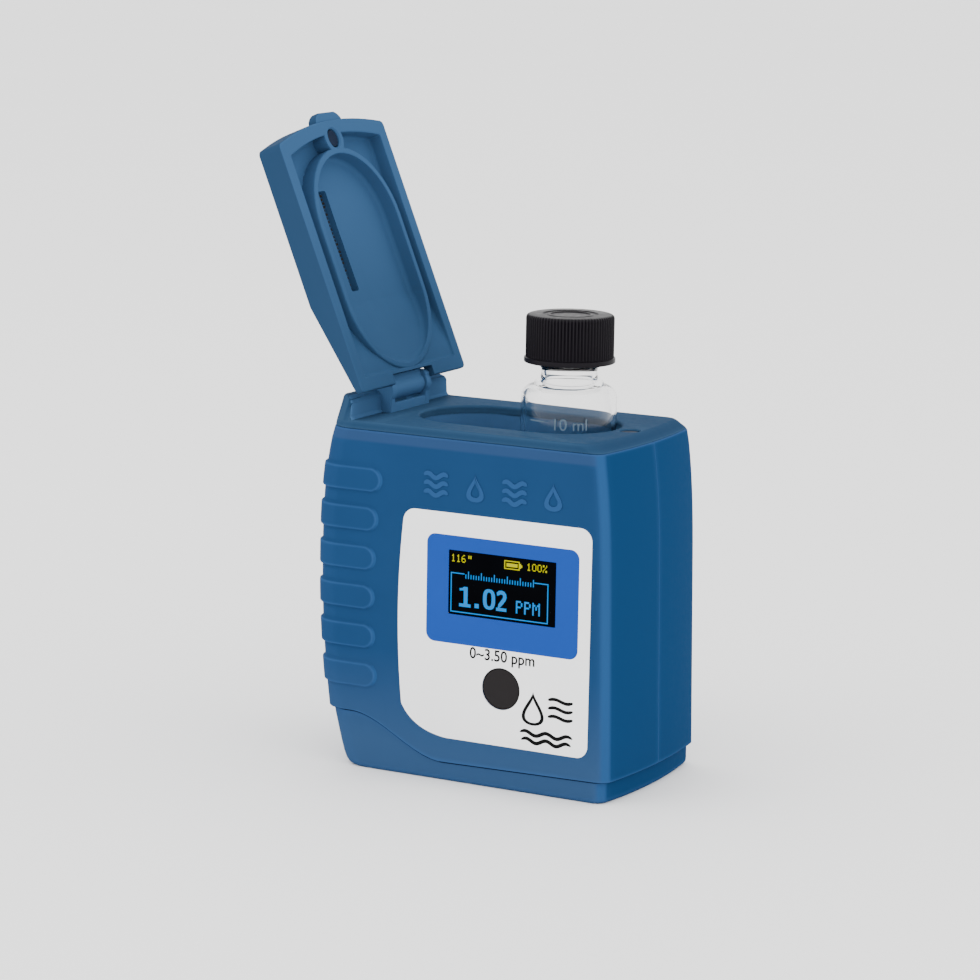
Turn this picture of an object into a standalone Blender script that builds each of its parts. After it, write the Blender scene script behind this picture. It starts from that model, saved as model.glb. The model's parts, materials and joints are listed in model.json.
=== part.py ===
"""Handheld digital water tester: a colorimeter with a hinged lid, a screw-capped
sample vial, one button, a small display and two AAA cells.

Row frame: X to the right seen from the display side, Y to the rear, Z up.
The origin is the middle of the flat bottom.  All sizes below are in millimetres.
"""
import math

import bmesh
import bpy
from mathutils import Matrix, Vector

MM = 0.001

# ---- driving dimensions -------------------------------------------------------
DEPTH_HALF = 20.0            # half the case's depth, front to rear
SEAM_Z = 68.9                # top edge of the two case shells
HEAD_TOP_Z = 70.65           # flat top of the head plate
MID_Z = 40.0                 # height where the case is widest
LEFT_MID, LEFT_RISE = -38.2, 2.6      # left end at mid height; how far it comes in at the top
RIGHT_LOW, RIGHT_LOW_Z = 31.2, 7.5    # right side near the bottom
RIGHT_SLOPE = 0.021          # the right side's draft, mm per mm of height
RIGHT_SHOULDER = 1.4         # extra the right side comes in at the top
LEFT_RADIUS, RIGHT_RADIUS = 5.5, 2.5  # vertical edge radii
LEFT_BOW, RIGHT_BOW = 0.9, 1.3        # how far each end bulges in plan
WALL = 1.8
PART_GAP = 0.15              # half of the 0.3 mm that neighbours keep
GAP = 0.3

RIB_PITCH, RIB_HEIGHT, RIB_PROUD = 7.97, 4.9, 0.55
RIB_LOW_Z, RIB_COUNT = 19.3, 6
RIB_END_X, RIB_END_BOW = -22.9, 1.5

BASE_WALL, BASE_FLOOR = 1.8, 1.8
BASE_RIGHT, BASE_HALF = 30.3, 19.7
BASE_LEFTS = [(0.0, -31.2), (0.35, -31.8), (1.2, -32.4), (2.6, -33.0), (5.0, -33.7), (10.0, -35.0), (12.4, -35.5)]
WAVE_LOW_Z, WAVE_RISE = 3.7, 7.8      # the base's upper edge: low on the right, high on the left
WAVE_START_X, WAVE_LENGTH = -7.0, 21.0
WAVE_SLOPE = 0.018

VIAL_X = 9.6                 # axis of the vial and of its chamber
VIAL_RADIUS, VIAL_WALL = 9.5, 0.9
VIAL_SEATED_Z = 5.2          # bottom of the vial when it is seated
VIAL_RAISED = 22.4           # how far it stands up at rest
CAP_RADIUS, CAP_RIM_RADIUS = 8.75, 9.05
BORE_RADIUS, CHAMBER_RADIUS = 10.0, 11.4
OPTIC_Z = 27.0               # height of the light path through the chamber

CUP_LEFT_X, CUP_RIGHT_X, CUP_RADIUS = -10.7, 8.2, 11.8
CUP_FLOOR_Z, CUP_WALL = 59.9, 1.4

HINGE_X, HINGE_Z = -28.8, 74.8
LID_OPEN_DEG = 112.4
LID_RIM_W = -3.9             # rim plane, measured from the hinge axis across the lid
LID_HALF = 20.9
LID_START, LID_CORNER, LID_BOW = 0.32, 53.1, 2.7
LID_CORNER_RADIUS, LID_TAPER = 1.2, 18.8
COLLAR_LOW, COLLAR_HIGH = 18.6, 34.3   # centres of the collar's half circles, along the lid
COLLAR_OUTER, COLLAR_INNER = 15.7, 14.4
LID_THICK, LID_THIN = 5.5, 1.6
TAB_HALF, TAB_PROUD = 5.6, 1.7
SLOT_LOW, SLOT_HIGH, SLOT_NEAR, SLOT_FAR = 21.4, 42.2, -7.2, -4.8
KNUCKLE_HALF, KNUCKLE_RADIUS = 5.9, 2.3
LUG_INNER, LUG_OUTER, LUG_RADIUS, LUG_FRONT_X = 6.3, 7.6, 2.8, -26.4
PIN_RADIUS, PIN_HOLE, PIN_HALF = 0.9, 1.2, 7.5

DISPLAY_X, DISPLAY_Z = 6.05, 40.6
DISPLAY_W, DISPLAY_H = 23.8, 12.9
BUTTON_X, BUTTON_Z, BUTTON_RADIUS = 6.2, 20.4, 4.1
LABEL_FACE_Y, LABEL_BACK_Y, LABEL_FLOOR_Y = -19.95, -19.7, -19.4

CELL_RADIUS, CELL_LENGTH = 5.25, 44.5
CELL_X, CELL_Y, CELL_BOTTOM_Z = (-24.4, -12.2), 11.95, 11.3
BAY_BOTTOM_Z, BAY_TOP_Z = 8.7, 56.8
DOOR_LEFT, DOOR_RIGHT, DOOR_BOTTOM, DOOR_TOP = -31.2, -6.2, 13.4, 62.2
DOOR_SCREW_X, DOOR_SCREW_Z = -18.7, 59.6

BASE_SCREWS = [(25.1, -15.6), (25.1, 15.6), (-26.4, -14.7), (-1.7, 15.6)]
CASE_SCREWS = [(25.3, 17.5), (24.4, 60.8)]
SCREW_HOLE, HEAD_HOLE, BASE_HEAD_HOLE = 1.4, 2.3, 2.5       # radii of the screws' holes
FRONT_BOSS, REAR_BOSS, BASE_BOSS = 2.5, 3.0, 3.1            # radii of the posts round them
MAGNET_X, MAGNET_RADIUS = 23.2, 1.7

ROUND_STEPS, HOLE_STEPS, SMALL_STEPS = 28, 20, 16


# ---- plan outlines --------------------------------------------------------------
def arc(centre_x, centre_y, radius, start_deg, end_deg, steps):
    points = []
    for i in range(steps + 1):
        angle = math.radians(start_deg + (end_deg - start_deg) * i / steps)
        points.append((centre_x + radius * math.cos(angle), centre_y + radius * math.sin(angle)))
    return points


def section(left, right, half, inset=0.0, left_radius=LEFT_RADIUS, right_radius=RIGHT_RADIUS,
            left_bow=LEFT_BOW, right_bow=RIGHT_BOW, steps=4):
    """Anticlockwise plan outline of the case at one height, moved inward by inset."""
    left, right, half = left + inset, right - inset, half - inset
    left_radius = max(left_radius - inset, 0.6)
    right_radius = max(right_radius - inset, 0.4)

    def end_side(extreme, bow, radius, turn):
        """One bowed end with its two corners, from the front to the rear."""
        reach = half - radius
        lean = math.degrees(math.atan(2 * bow / reach))
        tip_y = reach + radius * math.sin(math.radians(lean))
        tip_x = extreme - turn * bow * (tip_y / reach) ** 2
        centre_x = tip_x - turn * radius * math.cos(math.radians(lean))
        corner = [(centre_x + turn * x, y) for x, y in arc(0.0, -reach, radius, -90, -lean, steps)]
        bowed = []
        for i in range(1, 6):
            y = -tip_y + 2 * tip_y * i / 6
            bowed.append((extreme - turn * bow * (y / reach) ** 2, y))
        mirrored = [(x, -y) for x, y in reversed(corner)]
        return corner + bowed + mirrored

    return end_side(right, right_bow, right_radius, 1) + end_side(left, left_bow, left_radius, -1)[::-1]


def case_limits(z):
    """Left end, right side and half depth of the case at height z."""
    if z > MID_Z:
        left = LEFT_MID + LEFT_RISE * ((z - MID_Z) / (SEAM_Z - MID_Z)) ** 3
    else:
        left = LEFT_MID + 0.0024 * (MID_Z - z) ** 2
    shoulder = max(0.0, (z - MID_Z) / (SEAM_Z - MID_Z)) ** 3
    right = RIGHT_LOW - RIGHT_SLOPE * (z - RIGHT_LOW_Z) - RIGHT_SHOULDER * shoulder
    draft = 0.25 * max(0.0, (z - 66.4) / (SEAM_Z - 66.4))
    return left, right, DEPTH_HALF - draft


def case_ring(z, inset=0.0):
    left, right, half = case_limits(min(max(z, 3.0), SEAM_Z))
    return [(x, y, z) for x, y in section(left, right, half, inset)]


def base_limits(z):
    """Left end, right side and half depth of the base cap at height z."""
    rim = 0.5 * max(0.0, 1.0 - z / 0.9) ** 2
    for (low, left), (high, next_left) in zip(BASE_LEFTS, BASE_LEFTS[1:]):
        if z <= high:
            return left + (next_left - left) * (z - low) / (high - low), BASE_RIGHT - rim, BASE_HALF - rim
    return BASE_LEFTS[-1][1], BASE_RIGHT, BASE_HALF


def base_ring(z, inset=0.0):
    left, right, half = base_limits(max(z, 0.0))
    return [(x, y, z) for x, y in section(left, right, half, inset)]


def wave_height(x):
    """Upper edge of the base cap across the front."""
    t = min(max((WAVE_START_X - x) / WAVE_LENGTH, 0.0), 1.0)
    return WAVE_LOW_Z + WAVE_RISE * t * t * (3 - 2 * t) + WAVE_SLOPE * max(0.0, x - WAVE_START_X)


def stadium(x0, x1, radius, steps=10):
    """Outline of two half circles joined by straight sides, centres at x0 and x1."""
    return arc(x1, 0.0, radius, -90, 90, steps) + arc(x0, 0.0, radius, 90, 270, steps)


def offset_outline(points, distance):
    """Move an anticlockwise outline outward by distance."""
    moved = []
    count = len(points)
    for i in range(count):
        before, here, after = (Vector(points[(i + k) % count]) for k in (-1, 0, 1))
        a = (here - before).normalized()
        b = (after - here).normalized()
        normal = Vector((a.y + b.y, -a.x - b.x)).normalized()
        spread = max(0.4, normal.dot(Vector((a.y, -a.x))))
        moved.append(tuple(here + normal * (distance / spread)))
    return moved


def rounded_rectangle(x0, x1, y0, y1, radius, steps=4):
    return (arc(x1 - radius, y0 + radius, radius, -90, 0, steps)
            + arc(x1 - radius, y1 - radius, radius, 0, 90, steps)
            + arc(x0 + radius, y1 - radius, radius, 90, 180, steps)
            + arc(x0 + radius, y0 + radius, radius, 180, 270, steps))


def label_outline():
    """Face label in X and Z, anticlockwise seen from the front."""
    left_edge = [(-16.3 - 1.0 * (1 - ((z - 33.2) / 18.5) ** 2), z) for z in (50, 45, 39, 33, 27, 21)]
    sweep = []
    for i in range(8):
        t = i / 7
        sweep.append(((1 - t) ** 2 * -16.3 + 2 * t * (1 - t) * -13.6 + t * t * -6.1,
                      (1 - t) ** 2 * 14.7 + 2 * t * (1 - t) * 9.6 + t * t * 8.85))
    right = arc(23.0, 11.3, 2.45, -90, 0, 5) + arc(23.0, 51.8, 2.6, 0, 90, 5)
    return sweep + right + arc(-13.6, 51.7, 2.7, 90, 172, 5) + left_edge


# ---- solids ---------------------------------------------------------------------
def mesh_object(name, bm):
    bmesh.ops.remove_doubles(bm, verts=bm.verts, dist=1e-7)
    bmesh.ops.recalc_face_normals(bm, faces=bm.faces)
    mesh = bpy.data.meshes.new(name)
    bm.to_mesh(mesh)
    bm.free()
    obj = bpy.data.objects.new(name, mesh)
    bpy.context.scene.collection.objects.link(obj)
    return obj


def loft(rings, name="solid"):
    """Closed solid through rings of the same number of points."""
    bm = bmesh.new()
    rows = [[bm.verts.new((x * MM, y * MM, z * MM)) for x, y, z in ring] for ring in rings]
    count = len(rows[0])
    for low, high in zip(rows, rows[1:]):
        for i in range(count):
            j = (i + 1) % count
            bm.faces.new((low[i], low[j], high[j], high[i]))
    bm.faces.new(rows[0][::-1])
    bm.faces.new(rows[-1])
    return mesh_object(name, bm)


def prism(outline, z0, z1, name="solid"):
    return loft([[(x, y, z0) for x, y in outline], [(x, y, z1) for x, y in outline]], name)


def prism_y(outline, y0, y1, name="solid"):
    """Outline in X and Z, drawn out along Y."""
    return loft([[(x, y, z) for x, z in outline] for y in (y0, y1)], name)


def box(x0, x1, y0, y1, z0, z1, name="solid"):
    return prism([(x0, y0), (x1, y0), (x1, y1), (x0, y1)], z0, z1, name)


def turned(profile, centre=(0.0, 0.0, 0.0), axis="Z", steps=ROUND_STEPS, name="solid"):
    """Turn a closed (radius, height) profile about an axis through centre."""
    bm = bmesh.new()
    rows = []
    for radius, height in profile:
        if radius < 1e-6:
            rows.append([bm.verts.new((0, 0, height * MM))])
            continue
        rows.append([bm.verts.new((x * MM, y * MM, height * MM))
                     for x, y in arc(0, 0, radius, 0, 360 - 360 / steps, steps - 1)])
    for a, b in zip(rows, rows[1:] + rows[:1]):
        for i in range(steps):
            j = (i + 1) % steps
            corners = [a[i % len(a)], a[j % len(a)], b[j % len(b)], b[i % len(b)]]
            unique = list(dict.fromkeys(corners))
            if len(unique) > 2:
                bm.faces.new(unique)
    turns = {"Z": (0.0, "Z"), "X": (math.pi / 2, "Y"), "Y": (-math.pi / 2, "X")}
    angle, about = turns[axis]
    place = Matrix.Translation(Vector(centre) * MM) @ Matrix.Rotation(angle, 4, about)
    bmesh.ops.transform(bm, matrix=place, verts=bm.verts)
    return mesh_object(name, bm)


def cylinder(radius, low, high, centre=(0.0, 0.0, 0.0), axis="Z", steps=ROUND_STEPS, name="solid"):
    return turned([(0, low), (radius, low), (radius, high), (0, high)], centre, axis, steps, name)


def ring(inner, outer, low, high, centre=(0.0, 0.0, 0.0), axis="Z", steps=ROUND_STEPS, name="solid"):
    return turned([(inner, low), (outer, low), (outer, high), (inner, high)], centre, axis, steps, name)


def combine(target, other, operation):
    """Boolean of two solids; the result stays in target and the other one goes."""
    modifier = target.modifiers.new(operation.lower(), "BOOLEAN")
    modifier.operation = operation
    modifier.object = other
    modifier.solver = "EXACT"
    bpy.context.view_layer.update()
    result = target.evaluated_get(bpy.context.evaluated_depsgraph_get())
    mesh = bpy.data.meshes.new_from_object(result)
    target.modifiers.clear()
    target.data = mesh
    bpy.data.objects.remove(other)
    return target


def join(target, *others):
    for other in others:
        combine(target, other, "UNION")
    return target


def cut(target, *others):
    for other in others:
        combine(target, other, "DIFFERENCE")
    return target


def keep(target, other):
    return combine(target, other, "INTERSECT")


def material(name, color, roughness, metallic=0.0, alpha=1.0):
    made = bpy.data.materials.get(name)
    if made:
        return made
    made = bpy.data.materials.new(name)
    made.use_nodes = True
    shader = made.node_tree.nodes["Principled BSDF"]
    shader.inputs["Base Color"].default_value = (*color, 1.0)
    shader.inputs["Roughness"].default_value = roughness
    shader.inputs["Metallic"].default_value = metallic
    shader.inputs["Alpha"].default_value = alpha
    return made


def finish(obj, name, look, pivot=None):
    """Name a solid, give it its material and put its origin on its joint's axis."""
    obj.name = name
    obj.data.name = name
    obj.data.materials.clear()
    obj.data.materials.append(look)
    obj.data.shade_smooth()
    obj.data.set_sharp_from_angle(angle=math.radians(32))
    if pivot is not None:
        shift = Vector(pivot) * MM
        obj.data.transform(Matrix.Translation(-shift))
        obj.location = obj.location + shift
    return obj


# ---- looks ----------------------------------------------------------------------
for old in list(bpy.data.objects):
    bpy.data.objects.remove(old, do_unlink=True)

CASE_BLUE = material("case_blue", (0.017, 0.112, 0.275), 0.42)
HEAD_BLUE = material("head_blue", (0.036, 0.130, 0.262), 0.45)
LABEL_WHITE = material("label_white", (0.93, 0.94, 0.95), 0.35)
BLACK_PLASTIC = material("black_plastic", (0.012, 0.012, 0.012), 0.40)
CAP_BLACK = material("cap_black", (0.010, 0.010, 0.010), 0.38)
BUTTON_DARK = material("button_dark", (0.037, 0.033, 0.032), 0.50)
CLEAR = material("clear", (0.92, 0.95, 0.96), 0.05, 0.0, 0.35)
SCREEN = material("screen", (0.004, 0.004, 0.005), 0.12)
STEEL = material("steel", (0.60, 0.60, 0.60), 0.30, 1.0)
NICKEL = material("nickel", (0.70, 0.68, 0.63), 0.28, 1.0)
BOARD = material("board", (0.010, 0.110, 0.045), 0.45)
RUBBER = material("rubber", (0.020, 0.020, 0.020), 0.80)
LINER = material("liner", (0.85, 0.85, 0.83), 0.55)
LED_LENS = material("led_lens", (0.30, 0.75, 0.35), 0.15)
CELL_WRAP = material("cell_wrap", (0.10, 0.10, 0.11), 0.35)


# ---- case -----------------------------------------------------------------------
CASE_LEVELS = [2.6, 7.5, 15.0, 24.0, 32.0, 40.0, 48.0, 56.0, 62.0, 66.4, SEAM_Z]
CAVITY_LEVELS = [-2.0, 7.5, 20.0, 32.0, 40.0, 48.0, 58.0, 64.0, SEAM_Z, 75.0]


def rib_ends():
    """The six rounded bands that wrap the left end, as a cutter seen from the front."""
    bands = None
    for i in range(RIB_COUNT):
        middle = RIB_LOW_Z + RIB_PITCH * i
        drift = RIB_END_BOW * ((middle - RIB_LOW_Z - 16.0) / 24.0) ** 2
        end = RIB_END_X + drift
        half = RIB_HEIGHT / 2
        outline = [(-45.0, middle - half)] + arc(end - half, middle, half, -90, 90, 6) + [(-45.0, middle + half)]
        band = prism_y(outline, -30.0, 30.0)
        bands = band if bands is None else join(bands, band)
    return bands


def above_wave():
    steps = 16
    edge = [(-45.0, wave_height(-45.0) + PART_GAP)]
    for i in range(steps + 1):
        x = WAVE_START_X - WAVE_LENGTH + WAVE_LENGTH * i / steps
        edge.append((x, wave_height(x) + PART_GAP))
    edge.append((45.0, wave_height(45.0) + PART_GAP))
    return prism_y(edge + [(45.0, 90.0), (-45.0, 90.0)], -30.0, 30.0)


def case_skin():
    """Hollow case before it is parted into two shells."""
    skin = loft([case_ring(z) for z in CASE_LEVELS])
    bands = keep(loft([case_ring(z, -RIB_PROUD) for z in CASE_LEVELS]), rib_ends())
    join(skin, bands)
    cut(skin, loft([case_ring(z, WALL) for z in CAVITY_LEVELS]))
    return keep(skin, above_wave())


def front_shell():
    shell = keep(case_skin(), box(-50, 50, -30, -PART_GAP, -5, 90))
    label = offset_outline(label_outline(), GAP)
    cut(shell, prism_y(label, -22.0, LABEL_FLOOR_Y))
    half_w, half_h = DISPLAY_W / 2 + GAP, DISPLAY_H / 2 + GAP
    cut(shell, box(DISPLAY_X - half_w, DISPLAY_X + half_w, -25, -15, DISPLAY_Z - half_h, DISPLAY_Z + half_h))
    cut(shell, cylinder(BUTTON_RADIUS + GAP, -25, -15, (BUTTON_X, 0, BUTTON_Z), "Y"))
    for x, z in CASE_SCREWS:
        join(shell, cylinder(FRONT_BOSS, -18.6, -PART_GAP, (x, 0, z), "Y", SMALL_STEPS))
        cut(shell, cylinder(SCREW_HOLE, -13.0, 5.0, (x, 0, z), "Y", SMALL_STEPS))
    add_base_posts(shell, -1)
    return finish(shell, "front_shell", CASE_BLUE)


def add_base_posts(shell, side):
    for x, y in BASE_SCREWS:
        if y * side > 0:
            low = wave_height(x) + 0.6
            near, far = sorted((y, side * 18.9))
            join(shell, cylinder(REAR_BOSS, low, low + 9.5, (x, y, 0), "Z", SMALL_STEPS))
            join(shell, box(x - 1.9, x + 1.9, near, far, low + 0.2, low + 9.3))
            cut(shell, cylinder(SCREW_HOLE, low - 1.0, low + 8.0, (x, y, 0), "Z", SMALL_STEPS))


def rear_shell():
    shell = keep(case_skin(), box(-50, 50, PART_GAP, 30, -5, 90))
    wall = 1.2
    lane = CELL_RADIUS + 0.5
    low_x, high_x = CELL_X
    pocket = stadium(low_x, high_x, lane)
    block_low = DOOR_BOTTOM - 0.6
    cradle = [(x, y + CELL_Y) for x, y in stadium(low_x, high_x, lane + wall)]
    cradle = prism(cradle, BAY_BOTTOM_Z - wall, BAY_TOP_Z + wall)
    join(shell, cut(cradle, box(-40.0, 0.0, 17.3, 30.0, 0.0, block_low)))
    join(shell, box(low_x - lane - wall, high_x + lane + wall, CELL_Y, 18.9, block_low, BAY_TOP_Z + wall - 0.1))
    join(shell, box(low_x - 4.0, high_x + 4.0, 14.6, 18.9, BAY_TOP_Z, DOOR_TOP + 1.3))
    cut(shell, prism([(x, y + CELL_Y) for x, y in pocket], BAY_BOTTOM_Z, BAY_TOP_Z))
    cut(shell, box(low_x - lane, high_x + lane, CELL_Y, 25.0, DOOR_BOTTOM + 0.4, BAY_TOP_Z))
    opening = rounded_rectangle(DOOR_LEFT - GAP, DOOR_RIGHT + GAP, DOOR_BOTTOM - GAP, DOOR_TOP + GAP, 2.3)
    cut(shell, prism_y(opening, 18.05, 25.0))
    cut(shell, cylinder(SCREW_HOLE, 12.0, 22.0, (DOOR_SCREW_X, 0, DOOR_SCREW_Z), "Y", SMALL_STEPS))
    for x, z in CASE_SCREWS:
        join(shell, cylinder(REAR_BOSS, PART_GAP, 18.6, (x, 0, z), "Y", SMALL_STEPS))
        cut(shell, cylinder(SCREW_HOLE, -5.0, 18.0, (x, 0, z), "Y", SMALL_STEPS))
        cut(shell, cylinder(HEAD_HOLE, 17.4, 25.0, (x, 0, z), "Y", HOLE_STEPS))
    add_base_posts(shell, 1)
    return finish(shell, "rear_shell", CASE_BLUE)


def base_cap():
    cap = loft([base_ring(z) for z in (0.0, 0.35, 0.9, 2.6, 5.0, 10.0, 12.4)])
    cut(cap, loft([base_ring(z, BASE_WALL) for z in (BASE_FLOOR, 5.0, 10.0, 15.0)]))
    for x, y in BASE_SCREWS:
        join(cap, cylinder(BASE_BOSS, 1.0, wave_height(x) + 0.1, (x, y, 0), "Z", SMALL_STEPS))
        cut(cap, cylinder(BASE_HEAD_HOLE, -2.0, 2.2, (x, y, 0), "Z", HOLE_STEPS))
        cut(cap, cylinder(SCREW_HOLE, 1.0, 15.0, (x, y, 0), "Z", SMALL_STEPS))
    trim = above_wave()
    trim.data.transform(Matrix.Translation((0, 0, -2 * PART_GAP * MM)))
    cut(cap, trim)
    return finish(cap, "base_cap", CASE_BLUE)


def screw(name, head_radius, head_height, shank_radius, length, head_face, axis, position):
    """Pan head screw with a cross recess; it points along the axis from its head's face."""
    bevel = head_height * 0.35
    sign = 1 if axis == "Z" else -1
    profile = [(0, 0), (head_radius - bevel, 0), (head_radius, bevel), (head_radius, head_height),
               (shank_radius, head_height), (shank_radius, length - shank_radius), (0.3, length), (0, length)]
    profile = [(radius, head_face + sign * height) for radius, height in profile]
    made = turned(profile, position, axis, SMALL_STEPS)
    slot, deep = head_radius * 0.55, head_height * 0.5
    near, far = sorted((head_face - sign * 1.0, head_face + sign * deep))
    x, y, z = position
    for a, b in ((slot, 0.22), (0.22, slot)):
        if axis == "Z":
            cut(made, box(x - a, x + a, y - b, y + b, near, far))
        else:
            cut(made, box(x - a, x + a, near, far, z - b, z + b))
    return finish(made, name, STEEL)


# ---- head, chamber and hinge ------------------------------------------------------
def riser_profile():
    """Hinge riser in X and Z: a steep outer side, a rounded ridge and a steep inner face."""
    ridge = arc(-31.2, 71.7, 3.6, 150, 75, 6)
    shoulder = arc(-30.0, 73.7, 1.2, 0, 60, 3)
    return [(-40.0, 69.4), (-28.8, 69.4), (-28.8, 73.7)] + shoulder + ridge[::-1] + [(-40.0, 71.2)]


def head():
    left, right, half = case_limits(SEAM_Z)
    low = section(left + 0.05, right - 0.05, half)
    top = section(left + 0.5, right - 2.7, half - 0.05, right_bow=0.8)
    part = loft([[(x, y, SEAM_Z + 0.2) for x, y in low], [(x, y, HEAD_TOP_Z) for x, y in top]])
    skirt = prism(section(left, right, half, WALL + 0.4), 65.3, SEAM_Z + 0.9)
    cut(skirt, prism(section(left, right, half, WALL + 1.9), 60.0, 72.0))
    groove = prism(section(left, right, half, 0.0), 66.6, 67.8)
    cut(groove, prism(section(left, right, half, WALL + 1.1), 60.0, 72.0))
    join(part, skirt)
    join(part, prism(stadium(CUP_LEFT_X, CUP_RIGHT_X, CUP_RADIUS + CUP_WALL), CUP_FLOOR_Z - 1.6, SEAM_Z + 0.9))
    join(part, cylinder(2.95, 66.1, SEAM_Z + 0.9, (MAGNET_X, 0, 0), "Z", 21))
    cut(part, groove)
    cut(part, prism(stadium(CUP_LEFT_X, CUP_RIGHT_X, CUP_RADIUS, 14), CUP_FLOOR_Z, 75.0))
    cut(part, cylinder(BORE_RADIUS + 0.1, 50.0, 62.0, (VIAL_X, 0, 0)))
    cut(part, cylinder(MAGNET_RADIUS + GAP, 67.5, 75.0, (MAGNET_X, 0, 0), "Z", HOLE_STEPS))
    for side in (-1, 1):
        y0, y1 = sorted((side * (LUG_OUTER + GAP), side * 30.0))
        column = loft([[(x, y, z) for x, y in section(left + slope, right, half - slope * 0.25)]
                       for z, slope in ((69.4, 0.1), (73.2, 1.2), (77.0, 2.2))])
        join(part, keep(keep(column, prism_y(riser_profile(), -30, 30)), box(-45, -20, y0, y1, 60, 90)))
        y0, y1 = sorted((side * LUG_INNER, side * LUG_OUTER))
        lug = box(HINGE_X - 2.2, LUG_FRONT_X, y0, y1, 69.8, HINGE_Z - 0.1)
        join(lug, cylinder(LUG_RADIUS, y0, y1, (HINGE_X, 0, HINGE_Z), "Y", HOLE_STEPS))
        join(part, lug)
    join(part, box(LUG_FRONT_X - 1.0, LUG_FRONT_X - 0.05, -LUG_INNER - 0.7, LUG_INNER + 0.7, 69.7, 72.4))
    cut(part, cylinder(PIN_HOLE, -LUG_OUTER - 0.1, LUG_OUTER + 0.1, (HINGE_X, 0, HINGE_Z), "Y", SMALL_STEPS))
    return finish(part, "head", HEAD_BLUE)


def head_seal():
    left, right, half = case_limits(SEAM_Z)
    seal = prism(section(left, right, half, WALL + 0.15), 66.8, 67.6)
    cut(seal, prism(section(left, right, half, WALL + 0.85), 60.0, 72.0))
    return finish(seal, "head_seal", RUBBER)


def chamber():
    """Black tube that holds the vial, with a light path across it."""
    profile = [(0, 3.1), (CHAMBER_RADIUS, 3.1), (CHAMBER_RADIUS, 55.4), (13.0, 55.4), (13.0, 58.0),
               (11.2, 58.0), (11.2, 56.4), (BORE_RADIUS, 56.4), (BORE_RADIUS, 4.9), (0, 4.9)]
    tube = turned(profile, (VIAL_X, 0, 0), steps=32)
    half = 6.0
    left = box(-8.3, -0.9, -4.6, 4.6, OPTIC_Z - half, OPTIC_Z + half)
    right = box(19.7, 26.6, -4.6, 4.6, OPTIC_Z - half, OPTIC_Z + half)
    join(tube, left, right)
    cut(tube, cylinder(3.6, -12.0, -1.4, (0, 0, OPTIC_Z), "X", HOLE_STEPS))
    cut(tube, cylinder(3.6, 20.2, 30.0, (0, 0, OPTIC_Z), "X", HOLE_STEPS))
    cut(tube, cylinder(2.2, -5.0, 24.0, (0, 0, OPTIC_Z), "X", HOLE_STEPS))
    return finish(tube, "chamber", BLACK_PLASTIC)


def optics():
    centre = (0, 0, OPTIC_Z)
    finish(cylinder(3.3, -2.7, -1.7, centre, "X", HOLE_STEPS), "led_window", CLEAR)
    finish(cylinder(3.3, 20.5, 21.5, centre, "X", HOLE_STEPS), "sensor_window", CLEAR)
    dome = [(2.5 * math.sin(a), -5.5 + 2.4 * math.cos(a)) for a in (0.0, 0.5, 0.95, 1.35)]
    led = [(0, -8.3), (2.9, -8.3), (2.9, -7.4), (2.5, -7.4)] + dome[::-1]
    finish(turned(led, centre, "X", HOLE_STEPS), "led", LED_LENS)
    can = [(0, 21.8), (2.6, 21.8), (2.6, 25.2), (3.1, 25.2), (3.1, 26.2), (0, 26.2)]
    finish(turned(can, centre, "X", HOLE_STEPS), "photodiode", NICKEL)
    finish(box(-9.9, -8.7, -4.6, 4.6, OPTIC_Z - 6, OPTIC_Z + 6), "led_board", BOARD)
    finish(box(26.9, 28.1, -4.6, 4.6, OPTIC_Z - 6, OPTIC_Z + 6), "sensor_board", BOARD)
    finish(ring(9.8, 10.9, 56.7, 57.7, (VIAL_X, 0, 0), steps=32), "vial_wiper", RUBBER)


def magnets():
    finish(cylinder(MAGNET_RADIUS, 67.8, 70.35, (MAGNET_X, 0, 0), "Z", HOLE_STEPS), "head_magnet", STEEL)
    magnet = cylinder(MAGNET_RADIUS, LID_RIM_W + 0.4, LID_RIM_W + 2.9, (MAGNET_X - HINGE_X, 0, 0), "Z", HOLE_STEPS)
    open_like_lid(finish(magnet, "lid_magnet", STEEL))


def hinge_pin():
    pin = cylinder(PIN_RADIUS, -PIN_HALF, PIN_HALF, (HINGE_X, 0, HINGE_Z), "Y", SMALL_STEPS)
    finish(pin, "hinge_pin", STEEL)


# ---- lid, modelled closed about its hinge axis, then swung open ---------------------
def lid_outline(inset=0.0):
    """Plan outline of the lid from its hinge end to its bowed free end."""
    half, start, corner = LID_HALF - inset, LID_START + inset, LID_CORNER - inset
    radius = max(LID_CORNER_RADIUS - inset, 0.5)
    reach = half - radius
    free = []
    for i in range(9):
        y = -reach + 2 * reach * i / 8
        free.append((corner + LID_BOW * (1 - (y / reach) ** 2), y))
    near = arc(corner - radius, -reach, radius, -90, -10, 4)
    far = [(x, -y) for x, y in reversed(near)]
    return [(start, -half)] + near + free[1:-1] + far + [(start, half)]


def lid_thickness(u):
    """The lid thins towards its hinge."""
    return LID_THIN + (LID_THICK - LID_THIN) * min(max(u / LID_TAPER, 0.0), 1.0)


def lid_layer(outline, floor_offset, floor_least):
    """Everything inside an outline from below the rim up to a floor that follows the outer skin."""
    stations = [-2.0, 0.0, LID_TAPER, 62.0]
    top = [(u, LID_RIM_W + max(lid_thickness(u) - floor_offset, floor_least)) for u in stations]
    layer = prism_y([(-2.0, -6.0), (62.0, -6.0)] + top[::-1], -30, 30)
    return keep(layer, prism(outline, -9.0, 9.0))


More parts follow.
